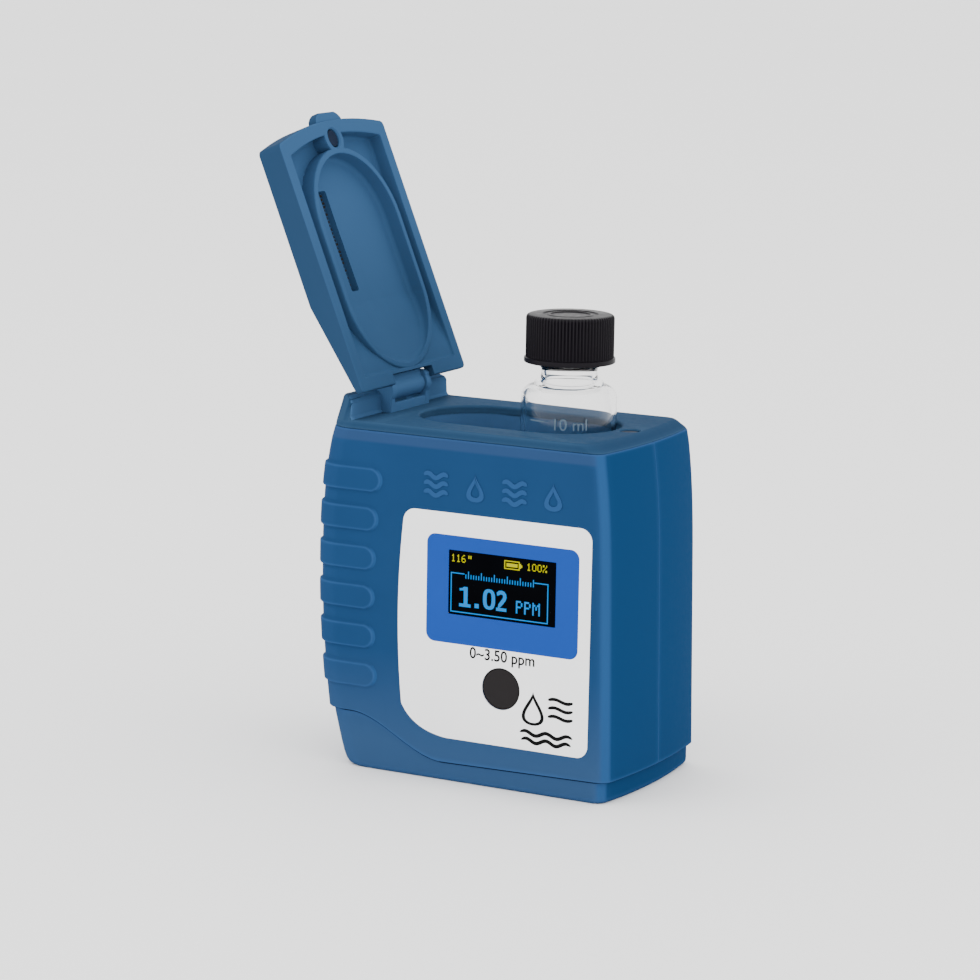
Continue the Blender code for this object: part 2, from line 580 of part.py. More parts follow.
def lid():
    part = lid_layer(lid_outline(), 0.0, 0.0)
    cut(part, box(-5.0, 70.0, -30, 30, -12.0, LID_RIM_W))
    tip = LID_CORNER + LID_BOW
    proud = tip + TAB_PROUD
    tab = [(tip - 2.0, -TAB_HALF), (tip + 0.3, -TAB_HALF), (proud - 0.2, 0.7 - TAB_HALF), (proud, 0.0),
           (proud - 0.2, TAB_HALF - 0.7), (tip + 0.3, TAB_HALF), (tip - 2.0, TAB_HALF)]
    join(part, prism(tab, LID_RIM_W + 0.3, LID_RIM_W + 2.6))
    hole = MAGNET_X - HINGE_X
    recess = lid_layer(lid_outline(2.9), 2.3, 0.45)
    cut(recess, prism(stadium(COLLAR_LOW, COLLAR_HIGH, COLLAR_OUTER, 12), -12.0, 9.0))
    cut(recess, cylinder(3.4, -12.0, 9.0, (hole, 0, 0), "Z", HOLE_STEPS))
    cut(part, recess)
    cut(part, lid_layer(stadium(COLLAR_LOW, COLLAR_HIGH, COLLAR_INNER, 12), 2.0, 0.4))
    cut(part, cylinder(MAGNET_RADIUS + GAP, -9.0, LID_RIM_W + 3.2, (hole, 0, 0), "Z", HOLE_STEPS))
    cut(part, box(SLOT_LOW, SLOT_HIGH, SLOT_NEAR, SLOT_FAR, LID_RIM_W + 1.0, LID_RIM_W + LID_THICK - 0.6))
    cut(part, box(-1.0, 2.7, -LUG_OUTER - GAP, LUG_OUTER + GAP, -9.0, 9.0))
    neck = box(0.9, 4.05, -KNUCKLE_HALF, KNUCKLE_HALF, -2.05, -0.2)
    join(neck, box(2.75, 4.0, -KNUCKLE_HALF + 0.1, KNUCKLE_HALF - 0.1, LID_RIM_W + 0.05, -0.3))
    join(neck, cylinder(KNUCKLE_RADIUS, -KNUCKLE_HALF, KNUCKLE_HALF, (0, 0, 0), "Y", HOLE_STEPS))
    join(part, neck)
    cut(part, cylinder(PIN_HOLE, -10.0, 10.0, (0, 0, 0), "Y", SMALL_STEPS))
    open_like_lid(finish(part, "lid", HEAD_BLUE))
    strip = box(SLOT_LOW + GAP, SLOT_HIGH - GAP, SLOT_NEAR + GAP, SLOT_FAR - GAP,
                LID_RIM_W + LID_THICK - 1.5, LID_RIM_W + LID_THICK - 0.9)
    open_like_lid(finish(strip, "lid_strip", RUBBER))


def open_like_lid(obj):
    """The mesh is in the lid's own axes; this sets the object on the hinge, swung open."""
    obj.location = Vector((HINGE_X, 0.0, HINGE_Z)) * MM
    obj.rotation_euler = (0.0, -math.radians(LID_OPEN_DEG), 0.0)
    return obj


# ---- vial -------------------------------------------------------------------------
def vial():
    low = VIAL_SEATED_Z + VIAL_RAISED
    outer = VIAL_RADIUS
    inner = outer - VIAL_WALL
    profile = [(0, 0), (outer - 1.2, 0), (outer - 0.35, 0.35), (outer, 1.2), (outer, 49.2),
               (outer - 0.6, 50.3), (outer - 1.9, 51.0), (6.9, 51.3), (6.9, 51.9), (6.2, 52.2),
               (5.5, 53.2), (5.5, 54.6), (6.5, 55.4), (6.5, 62.4),
               (4.6, 62.4), (4.6, 51.2), (inner - 1.6, 50.1), (inner - 0.2, 48.8), (inner, 1.8),
               (inner - 0.9, 0.95), (0, 0.9)]
    glass = turned([(r, z + low) for r, z in profile], (VIAL_X, 0, 0), steps=32)
    finish(glass, "vial", CLEAR, (VIAL_X, 0, low))
    top = 92.7
    cap = [(7.0, 83.2), (CAP_RIM_RADIUS, 83.2), (CAP_RIM_RADIUS, 84.1), (CAP_RADIUS, 84.3),
           (CAP_RADIUS, top - 0.7), (CAP_RADIUS - 0.6, top), (5.2, top), (5.2, top - 0.25), (0, top - 0.25),
           (0, top - 1.3), (7.0, top - 1.3)]
    finish(turned(cap, (VIAL_X, 0, 0), steps=32), "vial_cap", CAP_BLACK, (VIAL_X, 0, 83.2))
    finish(cylinder(6.6, 90.35, 91.1, (VIAL_X, 0, 0)), "cap_liner", LINER, (VIAL_X, 0, 90.35))


# ---- face: label, display, button ---------------------------------------------------
def face():
    outline = label_outline()
    label = prism_y(outline, LABEL_FACE_Y, LABEL_BACK_Y)
    half_w, half_h = DISPLAY_W / 2 + GAP, DISPLAY_H / 2 + GAP
    cut(label, box(DISPLAY_X - half_w, DISPLAY_X + half_w, -25, -15, DISPLAY_Z - half_h, DISPLAY_Z + half_h))
    cut(label, cylinder(BUTTON_RADIUS + GAP, -25, -15, (BUTTON_X, 0, BUTTON_Z), "Y"))
    finish(label, "face_label", LABEL_WHITE)
    half_w, half_h = DISPLAY_W / 2, DISPLAY_H / 2
    x0, x1, z0, z1 = DISPLAY_X - half_w, DISPLAY_X + half_w, DISPLAY_Z - half_h, DISPLAY_Z + half_h
    finish(box(x0, x1, -19.9, -19.2, z0, z1), "display_window", CLEAR)
    finish(box(x0, x1, -18.9, -17.4, z0, z1), "display_panel", SCREEN)
    finish(box(x0 - 1.6, x1 + 1.6, -17.1, -15.9, z0 - 6.6, z1 + 6.6), "display_board", BOARD)
    finish(box(-21.0, 21.5, -13.2, -11.9, 12.0, 54.4), "main_board", BOARD)
    profile = [(0, -20.2), (BUTTON_RADIUS - 1.4, -20.15), (BUTTON_RADIUS - 0.35, -19.95), (BUTTON_RADIUS, -19.6),
               (BUTTON_RADIUS, -17.9), (BUTTON_RADIUS + 1.2, -17.9), (BUTTON_RADIUS + 1.2, -17.2),
               (1.6, -17.2), (1.6, -16.3), (0, -16.3)]
    centre = (BUTTON_X, 0, BUTTON_Z)
    finish(turned(profile, centre, "Y", 28), "button", BUTTON_DARK, (BUTTON_X, -17.9, BUTTON_Z))
    switch = box(BUTTON_X - 3, BUTTON_X + 3, -14.6, -13.5, BUTTON_Z - 3, BUTTON_Z + 3)
    join(switch, cylinder(1.7, -15.3, -14.0, centre, "Y", SMALL_STEPS))
    finish(switch, "button_switch", BLACK_PLASTIC)


# ---- power --------------------------------------------------------------------------
def spring_wire(name, x):
    """Conical contact spring under one cell, a round wire swept along its coil."""
    curve = bpy.data.curves.new(name, "CURVE")
    curve.dimensions = "3D"
    curve.bevel_depth = 0.28 * MM
    curve.bevel_resolution = 0
    curve.use_fill_caps = True
    turns, per_turn = 2.25, 12
    steps = int(turns * per_turn)
    spline = curve.splines.new("POLY")
    spline.points.add(steps)
    for i in range(steps + 1):
        t = i / steps
        angle = 2 * math.pi * turns * t
        radius = 4.2 - 2.2 * t
        z = BAY_BOTTOM_Z + 0.65 + 1.35 * t
        at = Vector((x + radius * math.cos(angle), CELL_Y + radius * math.sin(angle), z)) * MM
        spline.points[i].co = (*at, 1)
    obj = bpy.data.objects.new(name, curve)
    bpy.context.scene.collection.objects.link(obj)
    curve.materials.append(NICKEL)
    return obj


def power():
    for index, x in enumerate(CELL_X, 1):
        low = CELL_BOTTOM_Z
        body = CELL_LENGTH - 1.0
        can = [(0, low), (CELL_RADIUS - 0.4, low), (CELL_RADIUS, low + 0.4), (CELL_RADIUS, low + body - 0.4),
               (CELL_RADIUS - 0.4, low + body), (1.9, low + body), (1.9, low + CELL_LENGTH), (0, low + CELL_LENGTH)]
        finish(turned(can, (x, CELL_Y, 0), steps=24), "battery_%d" % index, CELL_WRAP)
        spring_wire("contact_spring_%d" % index, x)
    finish(box(CELL_X[0] - 4, CELL_X[1] + 4, CELL_Y - 3, CELL_Y + 3, 56.1, 56.5), "contact_plate", NICKEL)
    outline = rounded_rectangle(DOOR_LEFT, DOOR_RIGHT, DOOR_BOTTOM, DOOR_TOP, 2.0)
    door = prism_y(outline, 18.35, 19.95)
    cut(door, cylinder(SCREW_HOLE, 15.0, 25.0, (DOOR_SCREW_X, 0, DOOR_SCREW_Z), "Y", SMALL_STEPS))
    cut(door, cylinder(HEAD_HOLE, 18.95, 25.0, (DOOR_SCREW_X, 0, DOOR_SCREW_Z), "Y", HOLE_STEPS))
    for i in range(5):
        z = 16.6 + 1.6 * i
        cut(door, box(-24.0, -13.4, 19.45, 21.0, z, z + 0.7))
    finish(door, "battery_door", CASE_BLUE, (DOOR_SCREW_X, 18.35, DOOR_SCREW_Z))
    screw("door_screw", 2.0, 0.65, 1.1, 7.5, 19.9, "Y", (DOOR_SCREW_X, 0, DOOR_SCREW_Z))


front_shell()
rear_shell()
base_cap()
head()
head_seal()
chamber()
optics()
magnets()
hinge_pin()
lid()
vial()
face()
power()
for number, (screw_x, screw_y) in enumerate(BASE_SCREWS, 1):
    screw("base_screw_%d" % number, 2.1, 1.3, 1.1, wave_height(screw_x) + 7.0, 0.5, "Z", (screw_x, screw_y, 0))
for number, (screw_x, screw_z) in enumerate(CASE_SCREWS, 1):
    screw("case_screw_%d" % number, 1.95, 1.4, 1.1, 26.0, 19.1, "Y", (screw_x, 0, screw_z))
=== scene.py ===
"""Looks of the handheld water tester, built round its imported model.

Lengths in this file are millimetres in the model's own frame: X to the right seen
from the display side, Y to the rear, Z up.  They become metres when a mesh is made.
"""
import json
import math

import bmesh
import bpy
from mathutils import Matrix, Vector


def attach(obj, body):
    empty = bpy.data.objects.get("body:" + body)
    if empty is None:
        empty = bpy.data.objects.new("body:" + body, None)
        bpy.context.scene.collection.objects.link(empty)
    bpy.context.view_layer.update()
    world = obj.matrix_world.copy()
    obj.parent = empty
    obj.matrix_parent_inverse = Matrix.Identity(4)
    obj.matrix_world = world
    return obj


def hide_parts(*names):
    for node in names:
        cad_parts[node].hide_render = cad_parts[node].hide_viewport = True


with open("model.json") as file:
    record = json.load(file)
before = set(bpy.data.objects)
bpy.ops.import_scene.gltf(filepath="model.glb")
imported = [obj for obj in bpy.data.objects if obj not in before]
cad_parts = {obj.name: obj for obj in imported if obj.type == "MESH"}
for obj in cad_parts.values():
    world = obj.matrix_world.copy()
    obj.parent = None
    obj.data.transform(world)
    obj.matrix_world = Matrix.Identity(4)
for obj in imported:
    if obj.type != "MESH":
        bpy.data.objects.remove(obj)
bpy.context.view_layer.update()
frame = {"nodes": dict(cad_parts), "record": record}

MM = 0.001
SHARP_DEG, ROUND_STEPS = 34.0, 24

# ---- sizes shared with the solids -------------------------------------------------
DEPTH_HALF, SEAM_Z, HEAD_TOP_Z, MID_Z = 20.0, 68.9, 70.65, 40.0
LEFT_MID, LEFT_RISE = -38.2, 2.6
RIGHT_LOW, RIGHT_LOW_Z, RIGHT_SLOPE, RIGHT_SHOULDER = 31.2, 7.5, 0.021, 1.4
LEFT_RADIUS, RIGHT_RADIUS, LEFT_BOW, RIGHT_BOW = 5.5, 2.5, 0.9, 1.3
WALL, PART_GAP, HEAD_GAP = 1.8, 0.04, 0.06
RIB_PITCH, RIB_HALF, RIB_PROUD = 7.97, 2.45, 0.55
RIB_LOW_Z, RIB_COUNT, RIB_END_X, RIB_END_BOW = 19.3, 6, -22.9, 1.5
WAVE_LOW_Z, WAVE_RISE, WAVE_START_X, WAVE_LENGTH, WAVE_SLOPE = 3.7, 7.8, -7.0, 21.0, 0.018
BASE_LEFTS = [(0.0, -31.2), (0.35, -31.8), (1.2, -32.4), (2.6, -33.0), (5.0, -33.7), (10.0, -35.0),
              (12.4, -35.5)]
BASE_RIGHT, BASE_HALF = 30.3, 19.7
VIAL_X, VIAL_RADIUS, VIAL_WALL, VIAL_LOW_Z = 9.6, 9.5, 0.9, 27.6
CAP_LOW_Z, CAP_TOP_Z, CAP_RADIUS, CAP_RIM_RADIUS = 83.2, 92.7, 8.75, 9.05
CUP_LEFT_X, CUP_RIGHT_X, CUP_RADIUS, CUP_FLOOR_Z = -10.7, 8.2, 11.8, 59.9
HINGE_X, HINGE_Z, LID_OPEN_DEG = -28.8, 74.8, 112.4
RIM_W, LID_HALF, LID_START, LID_CORNER, LID_BOW = -3.9, 20.9, 0.32, 53.1, 2.7
LID_THICK, LID_THIN, LID_TAPER, LID_CORNER_RADIUS = 5.5, 1.55, 19.7, 1.2
LID_SKEW, LID_FAR_CORNER, LID_EDGE, TAB_Y = 0.035, 0.70, 1.5, 0.8
COLLAR_LOW, COLLAR_HIGH, COLLAR_OUTER, COLLAR_INNER = 18.6, 34.3, 15.7, 14.4
KNUCKLE_HALF, KNUCKLE_RADIUS, LUG_INNER, LUG_OUTER, LUG_FRONT_X = 6.0, 2.3, 6.3, 7.6, -26.45
SLOT_LOW, SLOT_HIGH, SLOT_NEAR, SLOT_FAR = 20.9, 42.2, -7.1, -4.3
PIN_HOLE, LUG_RADIUS, LUG_NOSE, MAGNET_X, MAGNET_HOLE = 1.2, 2.8, 3.15, 23.2, 2.0
DISPLAY_X, DISPLAY_Z, DISPLAY_W, DISPLAY_H = 6.05, 40.6, 23.8, 12.9
BUTTON_X, BUTTON_Z, BUTTON_RADIUS = 6.2, 20.4, 4.1
DOOR_LEFT, DOOR_RIGHT, DOOR_BOTTOM, DOOR_TOP = -31.2, -6.2, 13.4, 62.2
DOOR_SCREW_X, DOOR_SCREW_Z = -18.7, 59.6
CELL_X, CELL_Y, CELL_LANE = (-24.4, -12.2), 11.95, 5.75
BASE_SCREWS = [(25.1, -15.6), (25.1, 15.6), (-26.4, -14.7), (-1.7, 15.6)]
CASE_SCREWS = [(25.3, 17.5), (24.4, 60.8)]


# ---- plan outlines --------------------------------------------------------------
def spread(low, high, count):
    return [low + (high - low) * i / count for i in range(count + 1)]


def arc(cx, cy, radius, start_deg, end_deg, steps):
    turns = [math.radians(a) for a in spread(start_deg, end_deg, steps)]
    return [(cx + radius * math.cos(a), cy + radius * math.sin(a)) for a in turns]


def smooth_step(t):
    t = min(max(t, 0.0), 1.0)
    return t * t * (3 - 2 * t)


def stadium(x0, x1, radius):
    return arc(x1, 0.0, radius, -90, 90, ROUND_STEPS) + arc(x0, 0.0, radius, 90, 270, ROUND_STEPS)


def rounded_rectangle(x0, x1, y0, y1, radius, steps=8):
    return (arc(x1 - radius, y0 + radius, radius, -90, 0, steps)
            + arc(x1 - radius, y1 - radius, radius, 0, 90, steps)
            + arc(x0 + radius, y1 - radius, radius, 90, 180, steps)
            + arc(x0 + radius, y0 + radius, radius, 180, 270, steps))


def at_height(points, z):
    return [(x, y, z) for x, y in points]


def offset_outline(points, distance):
    """Move an anticlockwise outline outward by distance."""
    moved, count = [], len(points)
    for i in range(count):
        before, here, after = (Vector(points[(i + k) % count]) for k in (-1, 0, 1))
        a, b = (here - before).normalized(), (after - here).normalized()
        normal = Vector((a.y + b.y, -a.x - b.x)).normalized()
        moved.append(tuple(here + normal * (distance / max(0.4, normal.dot(Vector((a.y, -a.x)))))))
    return moved


def end_quarter(extreme, bow, radius, half, turn, ys, steps):
    """Half of one bowed end of the plan: given ys from the middle, then the front corner."""
    reach = half - radius
    lean = math.degrees(math.atan(2 * bow / reach))
    tip = reach + radius * math.sin(math.radians(lean))
    centre = extreme - turn * bow * (tip / reach) ** 2 - turn * radius * math.cos(math.radians(lean))
    side = [(extreme - turn * bow * (min(y, tip) / reach) ** 2, -y) for y in ys]
    side += [(extreme - turn * bow * (y / reach) ** 2, -y) for y in spread(ys[-1], tip, 9)[1:-1]]
    corner = [(centre + turn * x, y) for x, y in arc(0.0, -reach, radius, -lean, -90, steps)]
    return side + corner


def half_outline(left, right, half, inset=0.0, seam=(0.03,)):
    """Right seam to left seam round the front side of the plan, close-set where the ribs end."""
    left, right, half = left + inset, right - inset, half - inset
    right_radius, left_radius = max(RIGHT_RADIUS - inset, 0.4), max(LEFT_RADIUS - inset, 0.6)
    near = end_quarter(right, RIGHT_BOW, right_radius, half, 1, seam, 10)
    far = end_quarter(left, LEFT_BOW, left_radius, half, -1, seam, 14)
    dense_end = max(-26.4, far[-1][0] + 0.4)
    xs = (spread(near[-1][0], 20.0, 4)[1:] + spread(20.0, -19.3, 20)[1:] + spread(-19.3, dense_end, 36)[1:]
          + spread(dense_end, far[-1][0], 4)[1:-1])
    return near + [(x, -half) for x in xs] + far[::-1]


def whole_outline(left, right, half, inset=0.0):
    front = half_outline(left, right, half, inset, (0.0,))
    return front + [(x, -y) for x, y in front[::-1][1:-1]]


def case_limits(z):
    z = min(max(z, 3.0), SEAM_Z)
    t = max(0.0, (z - MID_Z) / (SEAM_Z - MID_Z)) ** 3
    left = LEFT_MID + (LEFT_RISE * t if z > MID_Z else 0.0024 * (MID_Z - z) ** 2)
    right = RIGHT_LOW - RIGHT_SLOPE * (z - RIGHT_LOW_Z) - RIGHT_SHOULDER * t
    return left, right, DEPTH_HALF - 0.25 * max(0.0, (z - 66.4) / (SEAM_Z - 66.4))


def base_limits(z):
    rim = 0.5 * max(0.0, 1.0 - z / 0.9) ** 2
    left = BASE_LEFTS[-1][1]
    for (low, a), (high, b) in zip(BASE_LEFTS, BASE_LEFTS[1:]):
        if low <= z <= high:
            left = a + (b - a) * (z - low) / (high - low)
    return left, BASE_RIGHT - rim, BASE_HALF - rim


def wave_height(x):
    t = smooth_step((WAVE_START_X - x) / WAVE_LENGTH)
    return WAVE_LOW_Z + WAVE_RISE * t + WAVE_SLOPE * max(0.0, x - WAVE_START_X)


def label_outline():
    left_edge = [(-16.3 - 1.0 * (1 - ((z - 33.2) / 18.5) ** 2), z) for z in spread(50.5, 15.5, 24)]
    sweep = []
    for t in spread(0.0, 1.0, 14):
        sweep.append(((1 - t) ** 2 * -16.3 + 2 * t * (1 - t) * -13.6 + t * t * -6.1,
                      (1 - t) ** 2 * 14.7 + 2 * t * (1 - t) * 9.6 + t * t * 8.85))
    right = arc(23.0, 11.3, 2.45, -90, 0, 10) + arc(23.0, 51.8, 2.6, 0, 90, 10)
    return sweep + right + arc(-13.6, 51.7, 2.7, 90, 172, 10) + left_edge


# ---- meshes ---------------------------------------------------------------------
def make(name, verts, faces, sharp=SHARP_DEG):
    mesh = bpy.data.meshes.new(name)
    mesh.from_pydata([(x * MM, y * MM, z * MM) for x, y, z in verts], [], faces)
    bm = bmesh.new()
    bm.from_mesh(mesh)
    bmesh.ops.remove_doubles(bm, verts=bm.verts, dist=2e-7)
    bmesh.ops.dissolve_degenerate(bm, edges=bm.edges, dist=1e-7)
    bmesh.ops.recalc_face_normals(bm, faces=bm.faces)
    bm.to_mesh(mesh)
    bm.free()
    obj = bpy.data.objects.new(name, mesh)
    bpy.context.scene.collection.objects.link(obj)
    return shade(obj, sharp)


def shade(obj, sharp=SHARP_DEG):
    obj.data.shade_smooth()
    obj.data.set_sharp_from_angle(angle=math.radians(sharp))
    return obj


def stack(name, rings, sharp=SHARP_DEG):
    """Closed solid through rings of equal length."""
    count = len(rings[0])
    verts = [p for ring in rings for p in ring]
    faces = []
    for a in range(0, len(verts) - count, count):
        for i in range(count):
            j = (i + 1) % count
            faces.append((a + i, a + j, a + count + j, a + count + i))
    faces.append(tuple(range(count))[::-1])
    faces.append(tuple(range(len(verts) - count, len(verts))))
    return make(name, verts, faces, sharp)


def lathe(name, profile, centre, axis="Z", steps=72, sharp=SHARP_DEG):
    """Turn (radius, height) points about an axis through centre; heights are along the axis."""
    verts, rows = [], []
    for radius, height in profile:
        row = []
        for x, y in ([(0.0, 0.0)] if radius < 1e-6 else arc(0, 0, radius, 0, 360 - 360 / steps, steps - 1)):
            row.append(len(verts))
            cx, cy, cz = centre
            verts.append((cx + x, cy + y, cz + height) if axis == "Z" else (cx + x, cy + height, cz + y))
        rows.append(row)
    faces = []
    for a, b in zip(rows, rows[1:] + rows[:1]):
        for i in range(steps):
            j = (i + 1) % steps
            corners = [a[i % len(a)], a[j % len(a)], b[j % len(b)], b[i % len(b)]]
            unique = list(dict.fromkeys(corners))
            if len(unique) > 2:
                faces.append(tuple(unique))
    return make(name, verts, faces, sharp)


def rod(name, radius, low, high, centre, axis="Y", steps=72):
    return lathe(name, [(0, low), (radius, low), (radius, high), (0, high)], centre, axis, steps)


def block(name, outline, low, high, low_round=0.0, high_round=0.0, axis="Z", steps=3):
    """Prism of an inset -> points function, with rounded ends."""
    rings = []
    for a in spread(0.0, 90.0, steps) if low_round else (90.0,):
        s, c = math.sin(math.radians(a)), math.cos(math.radians(a))
        rings.append((low_round * (1 - s), low + low_round * (1 - c)))
    for a in spread(0.0, 90.0, steps) if high_round else (0.0,):
        s, c = math.sin(math.radians(a)), math.cos(math.radians(a))
        rings.append((high_round * (1 - c), high - high_round * (1 - s)))
    levels = []
    for inset, h in rings:
        levels.append([(x, y, h) if axis == "Z" else (x, h, y) for x, y in outline(inset)])
    return stack(name, levels)


def inset_of(points):
    return lambda inset: offset_outline(points, -inset) if inset else points


def box(name, x0, x1, y0, y1, z0, z1):
    return block(name, lambda inset: [(x0, y0), (x1, y0), (x1, y1), (x0, y1)], z0, z1)


def combine(target, other, operation):
    modifier = target.modifiers.new("solid", "BOOLEAN")
    modifier.operation, modifier.object, modifier.solver = operation, other, "EXACT"
    bpy.context.view_layer.update()
    mesh = bpy.data.meshes.new_from_object(target.evaluated_get(bpy.context.evaluated_depsgraph_get()))
    target.modifiers.clear()
    target.data = mesh
    mesh.materials.clear()
    bpy.data.objects.remove(other)
    return target


def cut(target, *others):
    for other in others:
        combine(target, other, "DIFFERENCE")
    return target


def join(target, *others):
    for other in others:
        combine(target, other, "UNION")
    return target


def keep(target, other):
    return combine(target, other, "INTERSECT")


def soften(obj, width, segments=2, angle=38.0):
    """Small moulded radius on every edge that is sharper than angle."""
    bm = bmesh.new()
    bm.from_mesh(obj.data)
    bmesh.ops.remove_doubles(bm, verts=bm.verts, dist=4e-6)
    bmesh.ops.dissolve_limit(bm, angle_limit=math.radians(1.2), verts=bm.verts, edges=bm.edges)
    bm.to_mesh(obj.data)
    bm.free()
    modifier = obj.modifiers.new("edges", "BEVEL")
    modifier.width, modifier.segments = width * MM, segments
    modifier.limit_method, modifier.angle_limit = "ANGLE", math.radians(angle)
    modifier.use_clamp_overlap = False
    modifier.miter_outer = "MITER_ARC"
    return apply_modifiers(obj)


def evened(obj, sharp=SHARP_DEG):
    """Smooth shading in which flat faces stay flat next to their rounded edges."""
    shade(obj, sharp)
    modifier = obj.modifiers.new("normals", "WEIGHTED_NORMAL")
    modifier.keep_sharp, modifier.weight = True, 60
    return obj


def apply_modifiers(obj):
    bpy.context.view_layer.update()
    mesh = bpy.data.meshes.new_from_object(obj.evaluated_get(bpy.context.evaluated_depsgraph_get()))
    obj.modifiers.clear()
    obj.data = mesh
    return obj


def piece(obj, body, look, slot, *nodes, inner=None):
    """Set a finished mesh on its body, with its finish and the nodes that it stands for."""
    obj.data.name = obj.name
    marked = [polygon.material_index for polygon in obj.data.polygons]
    obj.data.materials.clear()
    obj.data.materials.append(look)
    if inner:
        obj.data.materials.append(inner)
        obj.data.polygons.foreach_set("material_index", marked)
    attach(obj, body)
    if nodes:
        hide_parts(*nodes)
    return obj


# ---- finishes ---------------------------------------------------------------------
class Finish:
    """One procedural material: a Principled shader with noise feeding colour, roughness and bump."""

    def __init__(self, name, color, roughness, metallic=0.0):
        self.material = bpy.data.materials.new(name)
        self.material.use_nodes = True
        self.tree = self.material.node_tree
        self.shader = self.tree.nodes["Principled BSDF"]
        self.shader.inputs["Base Color"].default_value = (*color, 1.0)
        self.shader.inputs["Roughness"].default_value = roughness
        self.shader.inputs["Metallic"].default_value = metallic
        self.color = color
        self.coords = self.node("ShaderNodeTexCoord").outputs["Object"]
        self.bumps = self.mixed = None

    def node(self, kind, **values):
        made = self.tree.nodes.new(kind)
        for key, value in values.items():
            if hasattr(made, key):
                setattr(made, key, value)
            else:
                made.inputs[key.replace("_", " ")].default_value = value
        return made

    def link(self, a, b):
        self.tree.links.new(a, b)

    def set(self, **values):
        for key, value in values.items():
            self.shader.inputs[key.replace("_", " ")].default_value = value
        return self

    def noise(self, per_mm, detail=2.0, stretch=(1, 1, 1)):
        mapping = self.node("ShaderNodeMapping")
        mapping.inputs["Scale"].default_value = tuple(s * per_mm / MM for s in stretch)
        self.link(self.coords, mapping.inputs["Vector"])
        made = self.node("ShaderNodeTexNoise", Scale=1.0, Detail=detail)
        self.link(mapping.outputs["Vector"], made.inputs["Vector"])
        return made.outputs["Fac"]

    def span(self, value, low, high, from_low=0.3, from_high=0.7):
        made = self.node("ShaderNodeMapRange")
        limits = {"From Min": from_low, "From Max": from_high, "To Min": low, "To Max": high}
        for key, number in limits.items():
            made.inputs[key].default_value = number
        self.link(value, made.inputs["Value"])
        return made.outputs["Result"]

    def over(self, color, share):
        """Mix a colour over the base colour so far, by a share from 0 to 1."""
        mixed = self.node("ShaderNodeMix", data_type="RGBA")
        mixed.inputs[6].default_value = (*self.color, 1.0)
        mixed.inputs[7].default_value = (*color, 1.0)
        self.link(share, mixed.inputs[0])
        if self.mixed:
            self.link(self.mixed, mixed.inputs[6])
        self.mixed = mixed.outputs[2]
        self.link(self.mixed, self.shader.inputs["Base Color"])
        return self

    def tint(self, per_mm, amount):
        """Slow colour drift between the base colour and a slightly lighter one."""
        lighter = tuple(min(1.0, c * (1 + amount)) for c in self.color)
        return self.over(lighter, self.span(self.noise(per_mm, 3.0), 0.0, 1.0))

    def painted_edge_highlight(self, light):
        """Painted highlight: convex edges a little lighter, where light catches them."""
        convex = self.node("ShaderNodeNewGeometry").outputs["Pointiness"]
        return self.over(light, self.span(convex, 0.0, 0.6, 0.503, 0.54))

    def band(self, color, start_z, full_z):
        """Fade into another colour from one height to another."""
        parts = self.node("ShaderNodeSeparateXYZ")
        self.link(self.coords, parts.inputs[0])
        return self.over(color, self.span(parts.outputs["Z"], 0.0, 1.0, start_z * MM, full_z * MM))

    def side_shade_and_edge_highlight(self, side, edge):
        """Painted shade, a deeper colour, on the right-hand side, and a painted highlight, a paler one,
        round the vertical edges next to it.
        """
        geometry = self.node("ShaderNodeNewGeometry")
        parts = self.node("ShaderNodeSeparateXYZ")
        self.link(geometry.outputs["Normal"], parts.inputs[0])
        across = self.node("ShaderNodeMath", operation="ABSOLUTE")
        self.link(parts.outputs["Y"], across.inputs[0])
        corner = self.node("ShaderNodeMath", operation="MULTIPLY")
        self.link(parts.outputs["X"], corner.inputs[0])
        self.link(across.outputs[0], corner.inputs[1])
        self.over(side, self.span(parts.outputs["X"], 0.0, 1.0, 0.55, 0.95))
        return self.over(edge, self.span(corner.outputs[0], 0.0, 1.0, 0.22, 0.46))

    def rough(self, per_mm, low, high):
        self.link(self.span(self.noise(per_mm, 3.0), low, high), self.shader.inputs["Roughness"])
        return self

    def grain(self, per_mm, depth_mm, strength=0.5, detail=2.0, stretch=(1, 1, 1)):
        bump = self.node("ShaderNodeBump", Strength=strength, Distance=depth_mm * MM)
        self.link(self.noise(per_mm, detail, stretch), bump.inputs["Height"])
        if self.bumps:
            self.link(self.bumps, bump.inputs["Normal"])
        self.link(bump.outputs["Normal"], self.shader.inputs["Normal"])
        self.bumps = bump.outputs["Normal"]
        return self


def plastic(name, color, roughness, drift=0.10, light=None, specular=0.002):
    made = Finish(name, color, roughness).set(Specular_IOR_Level=specular)
    made.tint(0.06, drift).rough(0.9, roughness - 0.05, roughness + 0.06)
    made.grain(4.5, 0.012, 0.35).grain(0.35, 0.03, 0.10)
    # A light colour given here is painted on convex edges as a highlight.
    return made.painted_edge_highlight(light) if light else made


BLUE = (0.0108, 0.0392, 0.1050)
# Painted highlight colour for the case's convex edges.
BLUE_EDGE_HIGHLIGHT = (0.0260, 0.0760, 0.1950)
# Painted light: paler band round the top of the case, where its edge turns upward.
TOP_LIT_BLUE = (0.0205, 0.0500, 0.1230)
HEAD_COLOR = (0.0128, 0.0358, 0.0780)
# Painted highlight colour for the head's convex edges.
HEAD_EDGE_HIGHLIGHT = (0.0300, 0.0700, 0.1300)
# Painted light: a paler copy of the head's plastic for the cup, against the shade in the well.
CUP_LIT_COLOR = (0.0420, 0.1000, 0.2050)
LID_COLOR = (0.0150, 0.0390, 0.0830)
# Painted highlight colour for the lid's convex edges.
LID_EDGE_HIGHLIGHT = (0.0190, 0.0480, 0.1000)
# Painted light: paler copy of the lid's plastic for its inner face and recess walls, against the shade in
# the recesses.
LID_INNER_LIT = (0.0215, 0.0560, 0.1170)
